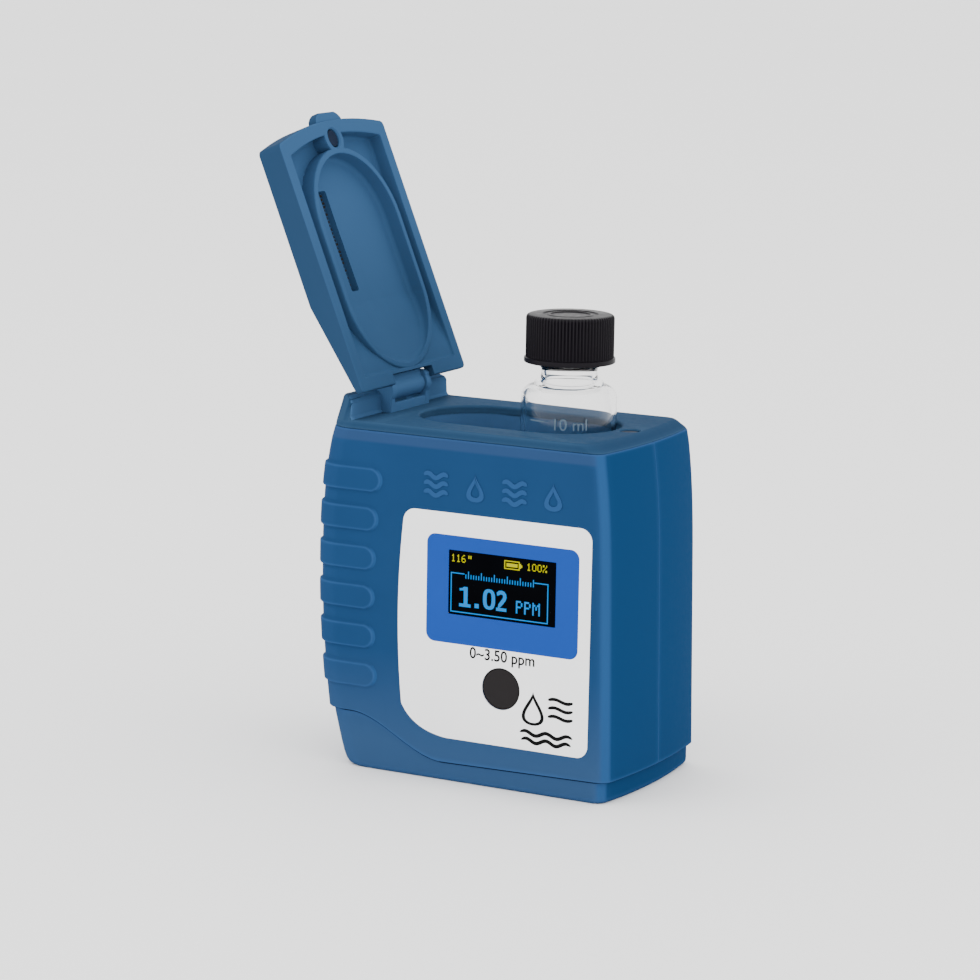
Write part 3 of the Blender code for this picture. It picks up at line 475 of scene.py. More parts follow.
# Painted light: the lid's inner face grows paler still towards the top of the open lid.
LID_INNER_TOP_LIT = (0.0300, 0.0770, 0.1620)
# Painted highlight on the vertical edges next to the right side.
EDGE_HIGHLIGHT_BLUE = (0.0190, 0.0640, 0.1680)
# Painted shade on the case's right side.
SIDE_SHADE_BLUE = (0.0062, 0.0350, 0.0990)
# Painted light: the case grows paler towards the bottom.
LOW_LIT_BLUE = (0.0250, 0.0600, 0.1330)
# Painted shade along the joint between the shells and the base.
SEAM_SHADE_BLUE = (0.0030, 0.0080, 0.0200)
# Painted light: a paler copy of the head's plastic for the hinge pieces, which stand in the lid's shadow.
HINGE_LIT_COLOR = (0.0370, 0.0920, 0.1900)
# Case finish: painted light as a paler top band and a paler lower part, painted shade on the right side,
# painted highlights on the vertical and convex edges.
case_look = plastic("case_blue_plastic", BLUE, 0.46, 0.08).band(TOP_LIT_BLUE, 66.5, 67.0)
case_look = case_look.band(LOW_LIT_BLUE, 25.0, 6.0).side_shade_and_edge_highlight(SIDE_SHADE_BLUE, EDGE_HIGHLIGHT_BLUE).painted_edge_highlight(BLUE_EDGE_HIGHLIGHT).material
head_look = plastic("head_blue_plastic", HEAD_COLOR, 0.50, 0.08, HEAD_EDGE_HIGHLIGHT).material
door_look = plastic("door_blue_plastic", BLUE, 0.46, 0.08).material
seam_shade_look = plastic("seam_shade_blue_plastic", SEAM_SHADE_BLUE, 0.50, 0.08).material
hinge_lit_look = plastic("hinge_lit_blue_plastic", HINGE_LIT_COLOR, 0.50, 0.08).material
cup_lit_look = plastic("cup_blue_plastic", CUP_LIT_COLOR, 0.50, 0.08).material
lid_look = plastic("lid_blue_plastic", LID_COLOR, 0.50, 0.08, LID_EDGE_HIGHLIGHT).material
# Painted light on the lid's inner face and recess walls, paler still towards the top of the open lid.
lid_inner_lit_look = plastic("lid_inner_blue_plastic", LID_INNER_LIT, 0.50, 0.08)
lid_inner_lit_look = lid_inner_lit_look.band(LID_INNER_TOP_LIT, 86.0, 112.0).material
label_look = Finish("label_white_film", (0.95, 0.955, 0.96), 0.36).tint(0.05, 0.02).rough(1.2, 0.32, 0.42)
label_look = label_look.grain(3.0, 0.006, 0.25).set(Specular_IOR_Level=0.2).material
panel_look = Finish("panel_blue_print", (0.0125, 0.0535, 0.2720), 0.38).tint(0.05, 0.05)
panel_look = panel_look.rough(1.2, 0.34, 0.43).grain(3.0, 0.006, 0.25).set(Specular_IOR_Level=0.01).material
ink_look = Finish("label_black_ink", (0.0040, 0.0040, 0.0042), 0.45).set(Specular_IOR_Level=0.02)
ink_look = ink_look.tint(0.8, 0.3).rough(2.0, 0.38, 0.52).material
screen_look = Finish("screen_glass", (0.0010, 0.0012, 0.0018), 0.10).tint(0.2, 0.25).rough(0.2, 0.07, 0.13)
screen_look = screen_look.set(Specular_IOR_Level=0.004).material


def glowing(name, color, strength):
    made = Finish(name, tuple(c * 0.05 for c in color), 0.4).tint(2.0, 0.15).set(Specular_IOR_Level=0.0)
    made.shader.inputs["Emission Color"].default_value = (*color, 1.0)
    made.shader.inputs["Emission Strength"].default_value = strength
    return made.rough(1.0, 0.35, 0.5).material


cyan_glow = glowing("pixels_cyan", (0.0, 0.340, 1.0), 0.92)
yellow_glow = glowing("pixels_yellow", (1.0, 0.945, 0.0), 0.70)
button_look = plastic("button_dark_plastic", (0.0175, 0.0160, 0.0164), 0.52, 0.12).material
black_look = plastic("chamber_black_plastic", (0.006, 0.006, 0.007), 0.45, 0.25, specular=0.1).material
# The cap's last colour is a painted highlight on its convex edges.
cap_look = plastic("cap_black_plastic", (0.0036, 0.0028, 0.0044), 0.36, 0.30, (0.014, 0.013, 0.015),
                   specular=0.05).material
glass = Finish("vial_glass", (1.0, 1.0, 1.0), 0.0).rough(0.1, 0.0, 0.012)
glass_look = glass.grain(0.10, 0.010, 0.12, 1.0).set(Transmission_Weight=1.0, IOR=1.29).material
vial_print = Finish("vial_print", (0.075, 0.130, 0.190), 0.5).tint(1.0, 0.08).rough(1.5, 0.4, 0.6)
mark_look = vial_print.grain(3.0, 0.01, 0.3).material
steel = Finish("screw_steel", (0.56, 0.56, 0.57), 0.30, 1.0).tint(0.4, 0.12).rough(1.0, 0.22, 0.38)
steel_look = steel.grain(2.5, 0.010, 0.35, 2.0, (0.15, 1, 1)).material
nickel = Finish("nickel_contacts", (0.68, 0.66, 0.60), 0.26, 1.0).tint(0.4, 0.10).rough(1.0, 0.2, 0.34)
nickel_look = nickel.grain(2.0, 0.010, 0.3).material
board_look = Finish("board_green_mask", (0.010, 0.110, 0.045), 0.38).tint(0.25, 0.35).rough(0.8, 0.3, 0.5)
board_look = board_look.grain(0.7, 0.03, 0.5).material
rubber_look = Finish("black_rubber", (0.012, 0.012, 0.012), 0.72).tint(0.5, 0.4).rough(1.0, 0.64, 0.82)
rubber_look = rubber_look.grain(2.2, 0.02, 0.5).material
liner_look = Finish("cap_liner_foam", (0.82, 0.82, 0.80), 0.6).tint(0.8, 0.06).rough(1.5, 0.5, 0.7)
liner_look = liner_look.grain(2.5, 0.03, 0.6).material
lens_look = Finish("led_lens", (0.30, 0.75, 0.35), 0.12).tint(0.3, 0.1).rough(0.5, 0.06, 0.16)
lens_look = lens_look.set(Transmission_Weight=0.7, IOR=1.5).material
cell_look = Finish("cell_sleeve", (0.10, 0.10, 0.11), 0.3).tint(0.10, 0.3).rough(0.6, 0.24, 0.36)
cell_look = cell_look.grain(0.8, 0.01, 0.3).material
clear_look = Finish("clear_window", (0.96, 0.97, 0.97), 0.03).rough(0.2, 0.0, 0.05)
clear_look = clear_look.set(Transmission_Weight=1.0, IOR=1.49).material
magnet_look = Finish("magnet_plating", (0.0070, 0.0125, 0.0270), 0.45).set(Specular_IOR_Level=0.01)
magnet_look = magnet_look.tint(0.8, 0.3).rough(1.2, 0.28, 0.45).grain(2.0, 0.01, 0.4).material

CARRIED_LOOKS = {
    "case_blue": case_look, "head_blue": head_look, "label": label_look, "clear": clear_look,
    "screen": screen_look, "button": button_look, "black": black_look, "cap": cap_look,
    "steel": steel_look, "nickel": nickel_look, "board": board_look, "rubber": rubber_look,
    "liner": liner_look, "lens": lens_look, "cell": cell_look,
}
for part in frame["record"]["subparts"]:
    carried = frame["nodes"][part["node"]].data
    carried.materials.clear()
    carried.materials.append(CARRIED_LOOKS[part["material_slot"]])
    carried.shade_smooth()
    carried.set_sharp_from_angle(angle=math.radians(30))
for magnet in ("head_magnet", "lid_magnet"):
    frame["nodes"][magnet].data.materials[0] = magnet_look


# ---- case shells ------------------------------------------------------------------
SEAM_YS = (0.03, 0.06, 0.10, 0.18, 1.5)
SEAM_INSETS = (0.09, 0.03, 0.01, 0.0)
SEAM_HALF, LEVEL_Z, TILTED_ROWS, LEVEL_ROWS = 0.14, 16.0, 24, 250


def rib_weight(x, z):
    """How far a point of the outer face stands out on one of the grip ribs, 0 to 1."""
    best = 9.0
    for i in range(RIB_COUNT):
        middle = RIB_LOW_Z + RIB_PITCH * i
        end = RIB_END_X + RIB_END_BOW * ((middle - RIB_LOW_Z - 16.0) / 24.0) ** 2 - RIB_HALF
        side = max(0.0, x - end)
        best = min(best, math.hypot(side, z - middle) - RIB_HALF)
    return smooth_step(0.5 - best / 0.55)


def case_column_points(z_of, inset, ribs, count):
    """Outer or inner points of one row; z may change from column to column."""
    points = []
    cache = {}
    for i in range(count):
        z = z_of(i)
        key = round(z, 4)
        if key not in cache:
            left, right, half = case_limits(z)
            cache[key] = half_outline(left, right, half, inset, SEAM_YS)
        row = cache[key]
        x, y = row[i]
        before, after = row[max(i - 1, 0)], row[min(i + 1, count - 1)]
        tangent = Vector((after[0] - before[0], after[1] - before[1])).normalized()
        normal = Vector((-tangent.y, tangent.x))
        if normal.dot(Vector((x, y))) < 0:
            normal = -normal
        push = RIB_PROUD * rib_weight(x, z) if ribs else 0.0
        end = min(i, count - 1 - i)
        if end < len(SEAM_INSETS):
            push -= SEAM_INSETS[end]
            normal = Vector((1.0 if x > 0 else -1.0, 0.0))
        points.append((x + normal.x * push, y + normal.y * push, z))
    return points


def mark(obj, chosen):
    """Faces that chosen(centre, normal) picks take the piece's second finish."""
    for polygon in obj.data.polygons:
        polygon.material_index = 1 if chosen(polygon.center / MM, polygon.normal) else 0
    return obj


def at_seam(centre, normal):
    """Painted shade: the rounded edges along the wave are darker, which draws the joint line."""
    return abs(centre.z - wave_height(centre.x)) < SEAM_HALF


def case_half(name, side):
    """Front (-1) or rear (1) shell: a closed wall whose outer face carries the ribs."""
    reference = half_outline(*case_limits(MID_Z), 0.0, SEAM_YS)
    count = len(reference)
    lows = []
    for i, (x, y) in enumerate(reference):
        z = MID_Z
        for _ in range(3):
            z = wave_height(half_outline(*case_limits(z), 0.0, SEAM_YS)[i][0]) + PART_GAP
        lows.append(z)
    rows = []
    foot, lip = 0.10, 0.22
    for drop, inset in ((0.0, foot), (foot * 0.3, foot * 0.3)):
        rows.append(case_column_points(lambda i: lows[i] + drop, inset, False, count))
    for t in spread(0.0, 1.0, TILTED_ROWS)[:-1]:
        rows.append(case_column_points(lambda i: lows[i] + foot + (LEVEL_Z - lows[i] - foot) * t,
                                       0.0, False, count))
    for level in spread(LEVEL_Z, SEAM_Z - lip, LEVEL_ROWS):
        rows.append(case_column_points(lambda i: level, 0.0, True, count))
    for rise, inset in ((0.5, 0.04), (0.87, 0.15), (1.0, 0.30)):
        rows.append(case_column_points(lambda i: SEAM_Z - lip + lip * rise, inset, False, count))
    for t in spread(1.0, 0.0, 8):
        rows.append(case_column_points(lambda i: lows[i] + (SEAM_Z - lows[i]) * t, WALL, False, count))
    verts = [(x, -side * y, z) for row in rows for x, y, z in row]
    faces = []
    total = len(rows)
    for a in range(total):
        b = (a + 1) % total
        for i in range(count - 1):
            faces.append((a * count + i, a * count + i + 1, b * count + i + 1, b * count + i))
    faces.append(tuple(a * count for a in range(total)))
    faces.append(tuple(a * count + count - 1 for a in range(total))[::-1])
    return make(name, verts, faces, 50.0)


shell_front = case_half("shell_front", -1)
opening = rounded_rectangle(DISPLAY_X - 12.1, DISPLAY_X + 12.1, DISPLAY_Z - 6.6, DISPLAY_Z + 6.6, 0.3)
cut(shell_front, block("hole", inset_of(opening), -25, -15, axis="Y"))
cut(shell_front, rod("hole", BUTTON_RADIUS + 0.2, -25, -15, (BUTTON_X, 0, BUTTON_Z)))
piece(evened(mark(shell_front, at_seam), 50.0), "case", case_look, "case_blue", "front_shell",
      inner=seam_shade_look)

shell_rear = case_half("shell_rear", 1)
opening = rounded_rectangle(DOOR_LEFT - 0.3, DOOR_RIGHT + 0.3, DOOR_BOTTOM - 0.3, DOOR_TOP + 0.3, 2.3)
cut(shell_rear, block("hole", inset_of(opening), 15.0, 25.0, axis="Y"))
for x, z in CASE_SCREWS:
    cut(shell_rear, rod("hole", 2.3, 17.4, 25, (x, 0, z), steps=36))
piece(evened(mark(shell_rear, at_seam), 50.0), "case", case_look, "case_blue", "rear_shell",
      inner=seam_shade_look)


def base_foot():
    """Base cap: bowed tray with the wave along its upper edge and four screw wells below."""
    rows_by_z = {}

    def point(i, z, inset):
        key = (round(z, 3), inset)
        if key not in rows_by_z:
            rows_by_z[key] = whole_outline(*base_limits(key[0]), inset)
        return (*rows_by_z[key][i], z)

    columns = range(len(whole_outline(*base_limits(5.0))))
    tops = []
    for i in columns:
        top = 5.0
        for _ in range(4):
            top = wave_height(point(i, top, 0.0)[0]) - PART_GAP
        tops.append(top)
    rings = [[point(i, z, 0.0) for i in columns] for z in (0.0, 0.08, 0.2, 0.35, 0.6, 0.9, 1.2, 1.7, 2.4)]
    for t in spread(0.0, 1.0, 14)[1:]:
        rings.append([point(i, 2.4 + (tops[i] - 0.1 - 2.4) * t, 0.0) for i in columns])
    for inset, drop in ((0.03, 0.03), (0.1, 0.0)):
        rings.append([point(i, tops[i] - drop, inset) for i in columns])
    for t in spread(1.0, 0.0, 4):
        rings.append([point(i, 1.8 + (tops[i] - 1.8) * t, 1.8) for i in columns])
    base = stack("base_foot", rings, sharp=40.0)
    for x, y in BASE_SCREWS:
        join(base, rod("boss", 3.1, 1.0, wave_height(x) - 0.15, (x, y, 0), "Z", 36))
        well = [(0, -2), (2.75, -2), (2.75, 0.0), (2.5, 0.25), (2.5, 2.2), (0, 2.2)]
        cut(base, lathe("well", well, (x, y, 0), "Z", 36))
    return base


piece(evened(mark(base_foot(), at_seam), 40.0), "case", case_look, "case_blue", "base_cap",
      inner=seam_shade_look)


# ---- head ---------------------------------------------------------------------------
def head_plate():
    left, right, half = case_limits(SEAM_Z)
    rings = []
    for t, inset in ((0.0, 0.16), (0.06, 0.04), (0.14, 0.0), (0.45, 0.0), (0.74, 0.0), (0.87, 0.07),
                     (0.96, 0.22), (1.0, 0.48)):
        outline = whole_outline(left + 0.05 + 0.45 * t, right - 0.05 - 2.65 * t, half - 0.05 * t, inset)
        rings.append(at_height(outline, SEAM_Z + HEAD_GAP + (HEAD_TOP_Z - SEAM_Z - HEAD_GAP) * t))
    return stack("head_top", rings)


def riser(side):
    """Hinge riser: the case's end wall carried up, with a rounded ridge and a steep inner face."""
    left, right, half = case_limits(SEAM_Z)
    ridge = arc(-31.2, 71.7, 3.6, 150, 75, 12)
    foot = arc(-28.05, 71.4, 0.75, 270, 180, 6)
    brow = arc(-30.0, 73.7, 1.2, 0, 60, 6)[1:]
    profile = ([(-40.0, 69.4), (-28.05, 69.4)] + foot + [(-28.8, 73.7)] + brow + ridge[::-1]
               + [(-40.0, 71.2)])
    rings = []
    for z, lean in ((69.4, 0.1), (71.3, 0.65), (73.2, 1.2), (77.0, 2.2)):
        rings.append(at_height(whole_outline(left + lean, right, half - lean * 0.25), z))
    y0, y1 = sorted((side * (LUG_OUTER - 0.1), side * 30.0))
    made = keep(stack("riser", rings), block("cutter", inset_of(profile), -30, 30, axis="Y"))
    keep(made, box("cutter", -45, -20, y0, y1, 60, 90))
    return soften(made, 0.45, 3, 40.0)


def lug(side):
    y0, y1 = sorted((side * (LUG_INNER - 0.2), side * (LUG_OUTER + 0.18)))
    made = box("lug", HINGE_X - 2.2, LUG_FRONT_X, y0, y1, 69.8, HINGE_Z - 0.1)
    axis = (HINGE_X, 0, HINGE_Z)
    join(made, rod("round", LUG_RADIUS, y0, y1, axis, steps=48))
    limit = box("cutter", HINGE_X, HINGE_X + 2.3, -10, 10, HINGE_Z - 0.5, HINGE_Z + LUG_RADIUS - 0.02)
    join(made, keep(rod("nose", LUG_NOSE, y0, y1, axis, steps=48), limit))
    return soften(made, 0.2, 3, 40.0)


def head():
    top = head_plate()
    opening = []
    for flare, z in ((0.0, 60.0), (0.0, HEAD_TOP_Z - 0.6), (0.08, HEAD_TOP_Z - 0.3),
                     (0.3, HEAD_TOP_Z - 0.08), (0.6, HEAD_TOP_Z), (0.6, 75.0)):
        opening.append(at_height(stadium(CUP_LEFT_X, CUP_RIGHT_X, CUP_RADIUS + flare), z))
    cut(top, stack("hole", opening))
    well = [(0, 67.5), (MAGNET_HOLE, 67.5), (MAGNET_HOLE, HEAD_TOP_Z - 0.25),
            (MAGNET_HOLE + 0.25, HEAD_TOP_Z), (MAGNET_HOLE + 0.25, 75), (0, 75)]
    return cut(top, lathe("hole", well, (MAGNET_X, 0, 0), "Z", 40))


def head_cup():
    """Well under the plate that the lid's collar and the vial's shoulder stand in."""
    cup = block("head_cup", lambda inset: stadium(CUP_LEFT_X, CUP_RIGHT_X, CUP_RADIUS + 1.4 - inset),
                CUP_FLOOR_Z - 1.6, SEAM_Z + 0.2)
    well = []
    for inset, z in ((1.6, CUP_FLOOR_Z), (0.75, CUP_FLOOR_Z + 0.15), (0.2, CUP_FLOOR_Z + 0.75),
                     (0.0, CUP_FLOOR_Z + 1.6), (0.0, 75.0)):
        well.append(at_height(stadium(CUP_LEFT_X, CUP_RIGHT_X, CUP_RADIUS - inset), z))
    cut(cup, stack("hole", well))
    mouth = [(0, 50), (10.1, 50), (10.1, CUP_FLOOR_Z - 0.3), (10.4, CUP_FLOOR_Z), (10.4, 62), (0, 62)]
    return cut(cup, lathe("hole", mouth, (VIAL_X, 0, 0), "Z", 64))


piece(evened(head(), 36.0), "case", head_look, "head_blue", "head")
# The cup takes the paler painted-light finish.
piece(evened(head_cup(), 36.0), "case", cup_lit_look, "head_blue")
for side, word in ((-1, "front"), (1, "rear")):
    # Inward faces of the riser take the paler hinge finish, painted light.
    end_piece = evened(mark(riser(side), lambda centre, normal: normal.x > 0.3), 40.0)
    piece(end_piece, "case", head_look, "head_blue", inner=hinge_lit_look).name = "hinge_riser_" + word
    piece(evened(lug(side), 40.0), "case", hinge_lit_look, "head_blue").name = "hinge_lug_" + word
bar_half = LUG_INNER + 0.5
bar = box("hinge_bar", LUG_FRONT_X - 1.0, LUG_FRONT_X - 0.05, -bar_half, bar_half, 69.7, 72.4)
piece(evened(soften(bar, 0.2), 40.0), "case", hinge_lit_look, "head_blue")


# ---- lid, built closed about its hinge axis -------------------------------------------
def lid_outline(inset=0.0):
    """From the hinge end round the bowed free end; u is along the lid, y across it."""
    half, start, corner = LID_HALF - inset, LID_START + inset, LID_CORNER - inset
    radius, hinge_radius = max(LID_CORNER_RADIUS - inset, 0.5), max(0.9 - inset, 0.25)
    reach = half - radius
    free = []
    for y in spread(-reach, reach, 30):
        lift = LID_SKEW * y + LID_FAR_CORNER * max(y / reach, 0.0) ** 2
        free.append((corner + lift + LID_BOW * (1 - (y / reach) ** 2), y))
    round_end = arc(-radius, -reach, radius, -90, -12, 8)
    near = [(corner - LID_SKEW * reach + x, y) for x, y in round_end]
    far = [(corner + LID_SKEW * reach + LID_FAR_CORNER + x, -y) for x, y in reversed(round_end)]
    side = arc(start + hinge_radius, hinge_radius - half, hinge_radius, 180, 270, 4)
    side += [(u, -half) for u in spread(start + hinge_radius, corner - radius, 26)[1:-1]]
    back = [(u, -v) for u, v in reversed(side)]
    return side + near + free[1:-1] + far + back


def lid_thickness(u):
    return LID_THIN + (LID_THICK - LID_THIN) * min(max(u / LID_TAPER, 0.0), 1.0)


def lid_floor(offset, least):
    return lambda u: RIM_W + max(lid_thickness(u) - offset, least)


def lid_cutter(outline, floor, lip, fillet, insets):
    """Recess cutter: a flared lip at the rim plane, then a floor that follows the outer skin."""
    rings = [at_height(outline(-lip), -12.0), at_height(outline(-lip), RIM_W),
             at_height(outline(-0.5 * lip), RIM_W + 0.13 * lip),
             at_height(outline(-0.13 * lip), RIM_W + 0.5 * lip)]
    for a in spread(0.0, 90.0, 5):
        s, c = math.sin(math.radians(a)), math.cos(math.radians(a))
        ring = []
        for u, v in outline(fillet * (1 - c)):
            deep = floor(u) - RIM_W
            ring.append((u, v, RIM_W + max(deep - min(fillet, 0.6 * deep) * (1 - s), 0.0)))
        rings.append(ring)
    for inset in insets:
        rings.append([(u, v, floor(u)) for u, v in outline(fillet + inset)])
    return stack("hole", rings)


def lid_body():
    """Slab that thins in a straight taper towards the hinge, with rounded edges."""
    made = block("lid_shell", inset_of(lid_outline()), RIM_W, RIM_W + LID_THICK)
    slope = (LID_THICK - LID_THIN) / LID_TAPER
    wedge = [(-5.0, RIM_W + LID_THIN - 5.0 * slope), (LID_TAPER, RIM_W + LID_THICK), (LID_TAPER, 4.0),
             (-5.0, 4.0)]
    cut(made, block("wedge", inset_of(wedge), -30, 30, axis="Y"))
    return soften(made, 0.38, 3, 38.0)


def lid():
    part = lid_body()
    tip = LID_CORNER + LID_BOW
    tab = [(-3.0, -5.0), (-0.3, -5.0), (0.4, -4.7), (0.9, -4.2), (1.3, -3.6), (1.6, -2.9)]
    tab = [(tip + 0.15 + u, y + TAB_Y) for u, y in tab + [(u, -y) for u, y in reversed(tab)]]
    join(part, block("tab", inset_of(tab), RIM_W + 0.3, RIM_W + 2.6, 0.3, 0.6))
    hole = MAGNET_X - HINGE_X
    recess = lid_cutter(lambda inset: lid_outline(2.9 + inset), lid_floor(2.3, 0.45), 0.3, 0.7,
                        (2.0, 5.0, 8.0, 11.0, 13.5, 15.5))
    collar = []
    for inset, w in ((0.35, -12.0), (0.35, RIM_W), (0.17, RIM_W + 0.05), (0.05, RIM_W + 0.17),
                     (0.0, RIM_W + 0.35), (0.0, 9.0)):
        collar.append(at_height(stadium(COLLAR_LOW, COLLAR_HIGH, COLLAR_OUTER - inset), w))
    cut(recess, stack("collar", collar))
    boss = [(0, -12.0), (3.15, -12.0), (3.15, RIM_W), (3.35, RIM_W + 0.07), (3.4, RIM_W + 0.25),
            (3.4, 9.0), (0, 9.0)]
    cut(recess, lathe("boss", boss, (hole, 0, 0), "Z", 41))
    cut(part, recess)
    cut(part, lid_cutter(lambda inset: stadium(COLLAR_LOW, COLLAR_HIGH, COLLAR_INNER - inset),
                         lid_floor(2.0, 0.4), 0.3, 1.0, (1.5, 4.0, 7.0, 10.0, 12.6)))
    mouth = [(0, -9.0), (MAGNET_HOLE + 0.3, -9.0), (MAGNET_HOLE + 0.3, RIM_W), (MAGNET_HOLE, RIM_W + 0.3),
             (MAGNET_HOLE, RIM_W + 3.2), (0, RIM_W + 3.2)]
    cut(part, lathe("hole", mouth, (hole, 0, 0), "Z", 40))
    slot = rounded_rectangle(SLOT_LOW, SLOT_HIGH, SLOT_NEAR, SLOT_FAR, 0.5, 3)
    cut(part, block("hole", inset_of(slot), RIM_W + 1.0, RIM_W + LID_THICK - 0.6))
    cut(part, box("hole", -1.0, 2.45, -LUG_OUTER - 0.25, LUG_OUTER + 0.25, -9.0, 9.0))
    return part


def lid_knuckle():
    made = box("lid_knuckle", 0.9, 4.05, -KNUCKLE_HALF, KNUCKLE_HALF, -2.05, -0.2)
    join(made, box("leg", 2.75, 3.15, -KNUCKLE_HALF + 0.1, KNUCKLE_HALF - 0.1, RIM_W + 0.05, -0.3))
    join(made, rod("round", KNUCKLE_RADIUS, -KNUCKLE_HALF, KNUCKLE_HALF, (0, 0, 0), steps=40))
    cut(made, rod("hole", PIN_HOLE, -10, 10, (0, 0, 0), steps=32))
    return soften(made, 0.3, 3, 40.0)


def on_inner_side(centre, normal):
    """Faces of the lid that look inward, and the walls of its recesses, which take the paler painted-light
    finish.
    """
    u, v = centre.x, centre.y
    free_end = LID_CORNER + LID_BOW * (1 - (v / LID_HALF) ** 2)
    inside = abs(v) < LID_HALF - LID_EDGE and 2.5 < u < free_end - LID_EDGE
    return normal.z < -0.6 or (inside and normal.z < 0.3)


def swing_open(obj):
    turn = Matrix.Rotation(-math.radians(LID_OPEN_DEG), 4, "Y")
    obj.data.transform(Matrix.Translation(Vector((HINGE_X, 0.0, HINGE_Z)) * MM) @ turn)
    return obj


piece(evened(swing_open(mark(lid(), on_inner_side)), 36.0), "lid", lid_look, "head_blue", "lid",
      inner=lid_inner_lit_look)
piece(evened(swing_open(lid_knuckle()), 40.0), "lid", hinge_lit_look, "head_blue")


def lid_strip():
    """Rubber strip along one side of the lid's slot, with uneven teeth."""
    teeth, u = [], SLOT_LOW + 0.35
    for i in range(26):
        deep = (0.45, 0.85, 0.60, 1.00, 0.35)[(i * 7 + i // 3) % 5]
        step = (SLOT_HIGH - SLOT_LOW - 0.7) / 26
        teeth += [(u, SLOT_NEAR + 0.2 + deep), (u + step * 0.55, SLOT_NEAR + 0.2 + deep),
                  (u + step * 0.6, SLOT_NEAR + 0.3), (u + step * 0.95, SLOT_NEAR + 0.3)]
        u += step
    outline = [(SLOT_LOW + 0.35, SLOT_NEAR + 0.1)] + teeth + [(SLOT_HIGH - 0.35, SLOT_NEAR + 0.1)]
    top = RIM_W + LID_THICK - 0.9
    return block("lid_strip_teeth", inset_of(outline[::-1]), top - 1.0, top)


piece(swing_open(lid_strip()), "lid", ink_look, "rubber", "lid_strip")


# ---- vial and cap ---------------------------------------------------------------------
def vial_glass():
    outer, inner = VIAL_RADIUS, VIAL_RADIUS - VIAL_WALL
    outside = [(0, 0.55), (outer - 3.0, 0.45), (outer - 2.2, 0.12), (outer - 1.4, 0.0), (outer - 0.8, 0.12),
               (outer - 0.3, 0.5), (outer - 0.05, 1.05), (outer, 1.6), (outer, 48.6)]
    for a in (0.2, 0.4, 0.6, 0.8, 1.0, 1.2, 1.4):
        outside.append((outer - 2.4 + 2.4 * math.cos(a), 48.6 + 2.4 * math.sin(a)))
    outside += [(6.9, 51.1), (6.85, 51.6), (6.5, 52.0), (5.9, 52.4), (5.55, 53.0), (5.5, 53.8), (5.7, 54.5),
                (6.2, 55.0), (6.5, 55.5), (6.5, 57.2), (6.75, 57.5), (6.75, 58.0), (6.5, 58.3), (6.5, 59.6),
                (6.75, 59.9), (6.75, 60.4), (6.5, 60.7), (6.5, 62.0), (6.35, 62.3), (6.0, 62.4)]
    inside = [(5.2, 62.4), (4.8, 62.25), (4.65, 61.9), (4.6, 53.0), (4.75, 52.0), (5.2, 51.2), (6.0, 50.6)]
    for a in (1.3, 1.0, 0.7, 0.4, 0.2, 0.0):
        inside.append((inner - 1.9 + 1.9 * math.cos(a), 48.5 + 1.9 * math.sin(a)))
    inside += [(inner, 2.4), (inner - 0.15, 1.75), (inner - 0.6, 1.2), (inner - 1.3, 1.0), (0, 1.25)]
    profile = [(r, z + VIAL_LOW_Z) for r, z in outside + inside]
    return lathe("vial_glass", profile, (VIAL_X, 0, 0), "Z", 96, sharp=60.0)


def vial_cap():
    """Screw cap: fine ribs round the skirt, a plain flange below and a raised ring on the top."""
    steps, ribs = 640, 80
    top = CAP_TOP_Z
    skirt = ((0.0, 0.12, 0.0, 1), (0.05, 0.03, 0.0, 1), (0.2, 0.0, 0.0, 1), (0.75, 0.0, 0.0, 1),
             (0.95, 0.06, 0.0, 1), (1.05, 0.05, 0.15, 0), (1.25, 0.0, 1.0, 0))
    crown = ((0.75, 0.0, 1.0, 0), (0.45, 0.07, 0.9, 0), (0.22, 0.24, 0.6, 0), (0.08, 0.48, 0.2, 0),
             (0.0, 0.85, 0.0, 0))
    levels = [(CAP_LOW_Z + up, *rest) for up, *rest in skirt]
    levels += [(top - down, *rest) for down, *rest in crown]
    rings = []
    for z, inset, depth, flange in levels:
        ring = []
        for i in range(steps):
            angle = 2 * math.pi * i / steps
            wave = 0.5 + 0.5 * math.cos(ribs * angle)
            radius = (CAP_RIM_RADIUS if flange else CAP_RADIUS) - inset - 0.30 * depth * (1 - wave ** 0.7)
            ring.append((VIAL_X + radius * math.cos(angle), radius * math.sin(angle), z))
        rings.append(ring)
    made = stack("vial_cap_ribbed", rings, sharp=60.0)
    dish = [(0, top + 1), (5.6, top + 1)]
    dish += [(radius, top - down) for radius, down in (
        (5.6, -0.02), (5.45, 0.16), (5.15, 0.22), (4.75, 0.22), (4.62, 0.10), (4.40, 0.02), (4.15, 0.02),
        (3.95, 0.12), (3.85, 0.24), (0, 0.24))]
    cut(made, lathe("dish", dish, (VIAL_X, 0, 0), "Z", 96))
    return cut(made, rod("bore", 7.0, 80, top - 1.3, (VIAL_X, 0, 0), "Z", 64))


piece(vial_glass(), "vial", glass_look, "clear", "vial")
piece(shade(vial_cap(), 50.0), "cap", cap_look, "cap", "vial_cap")


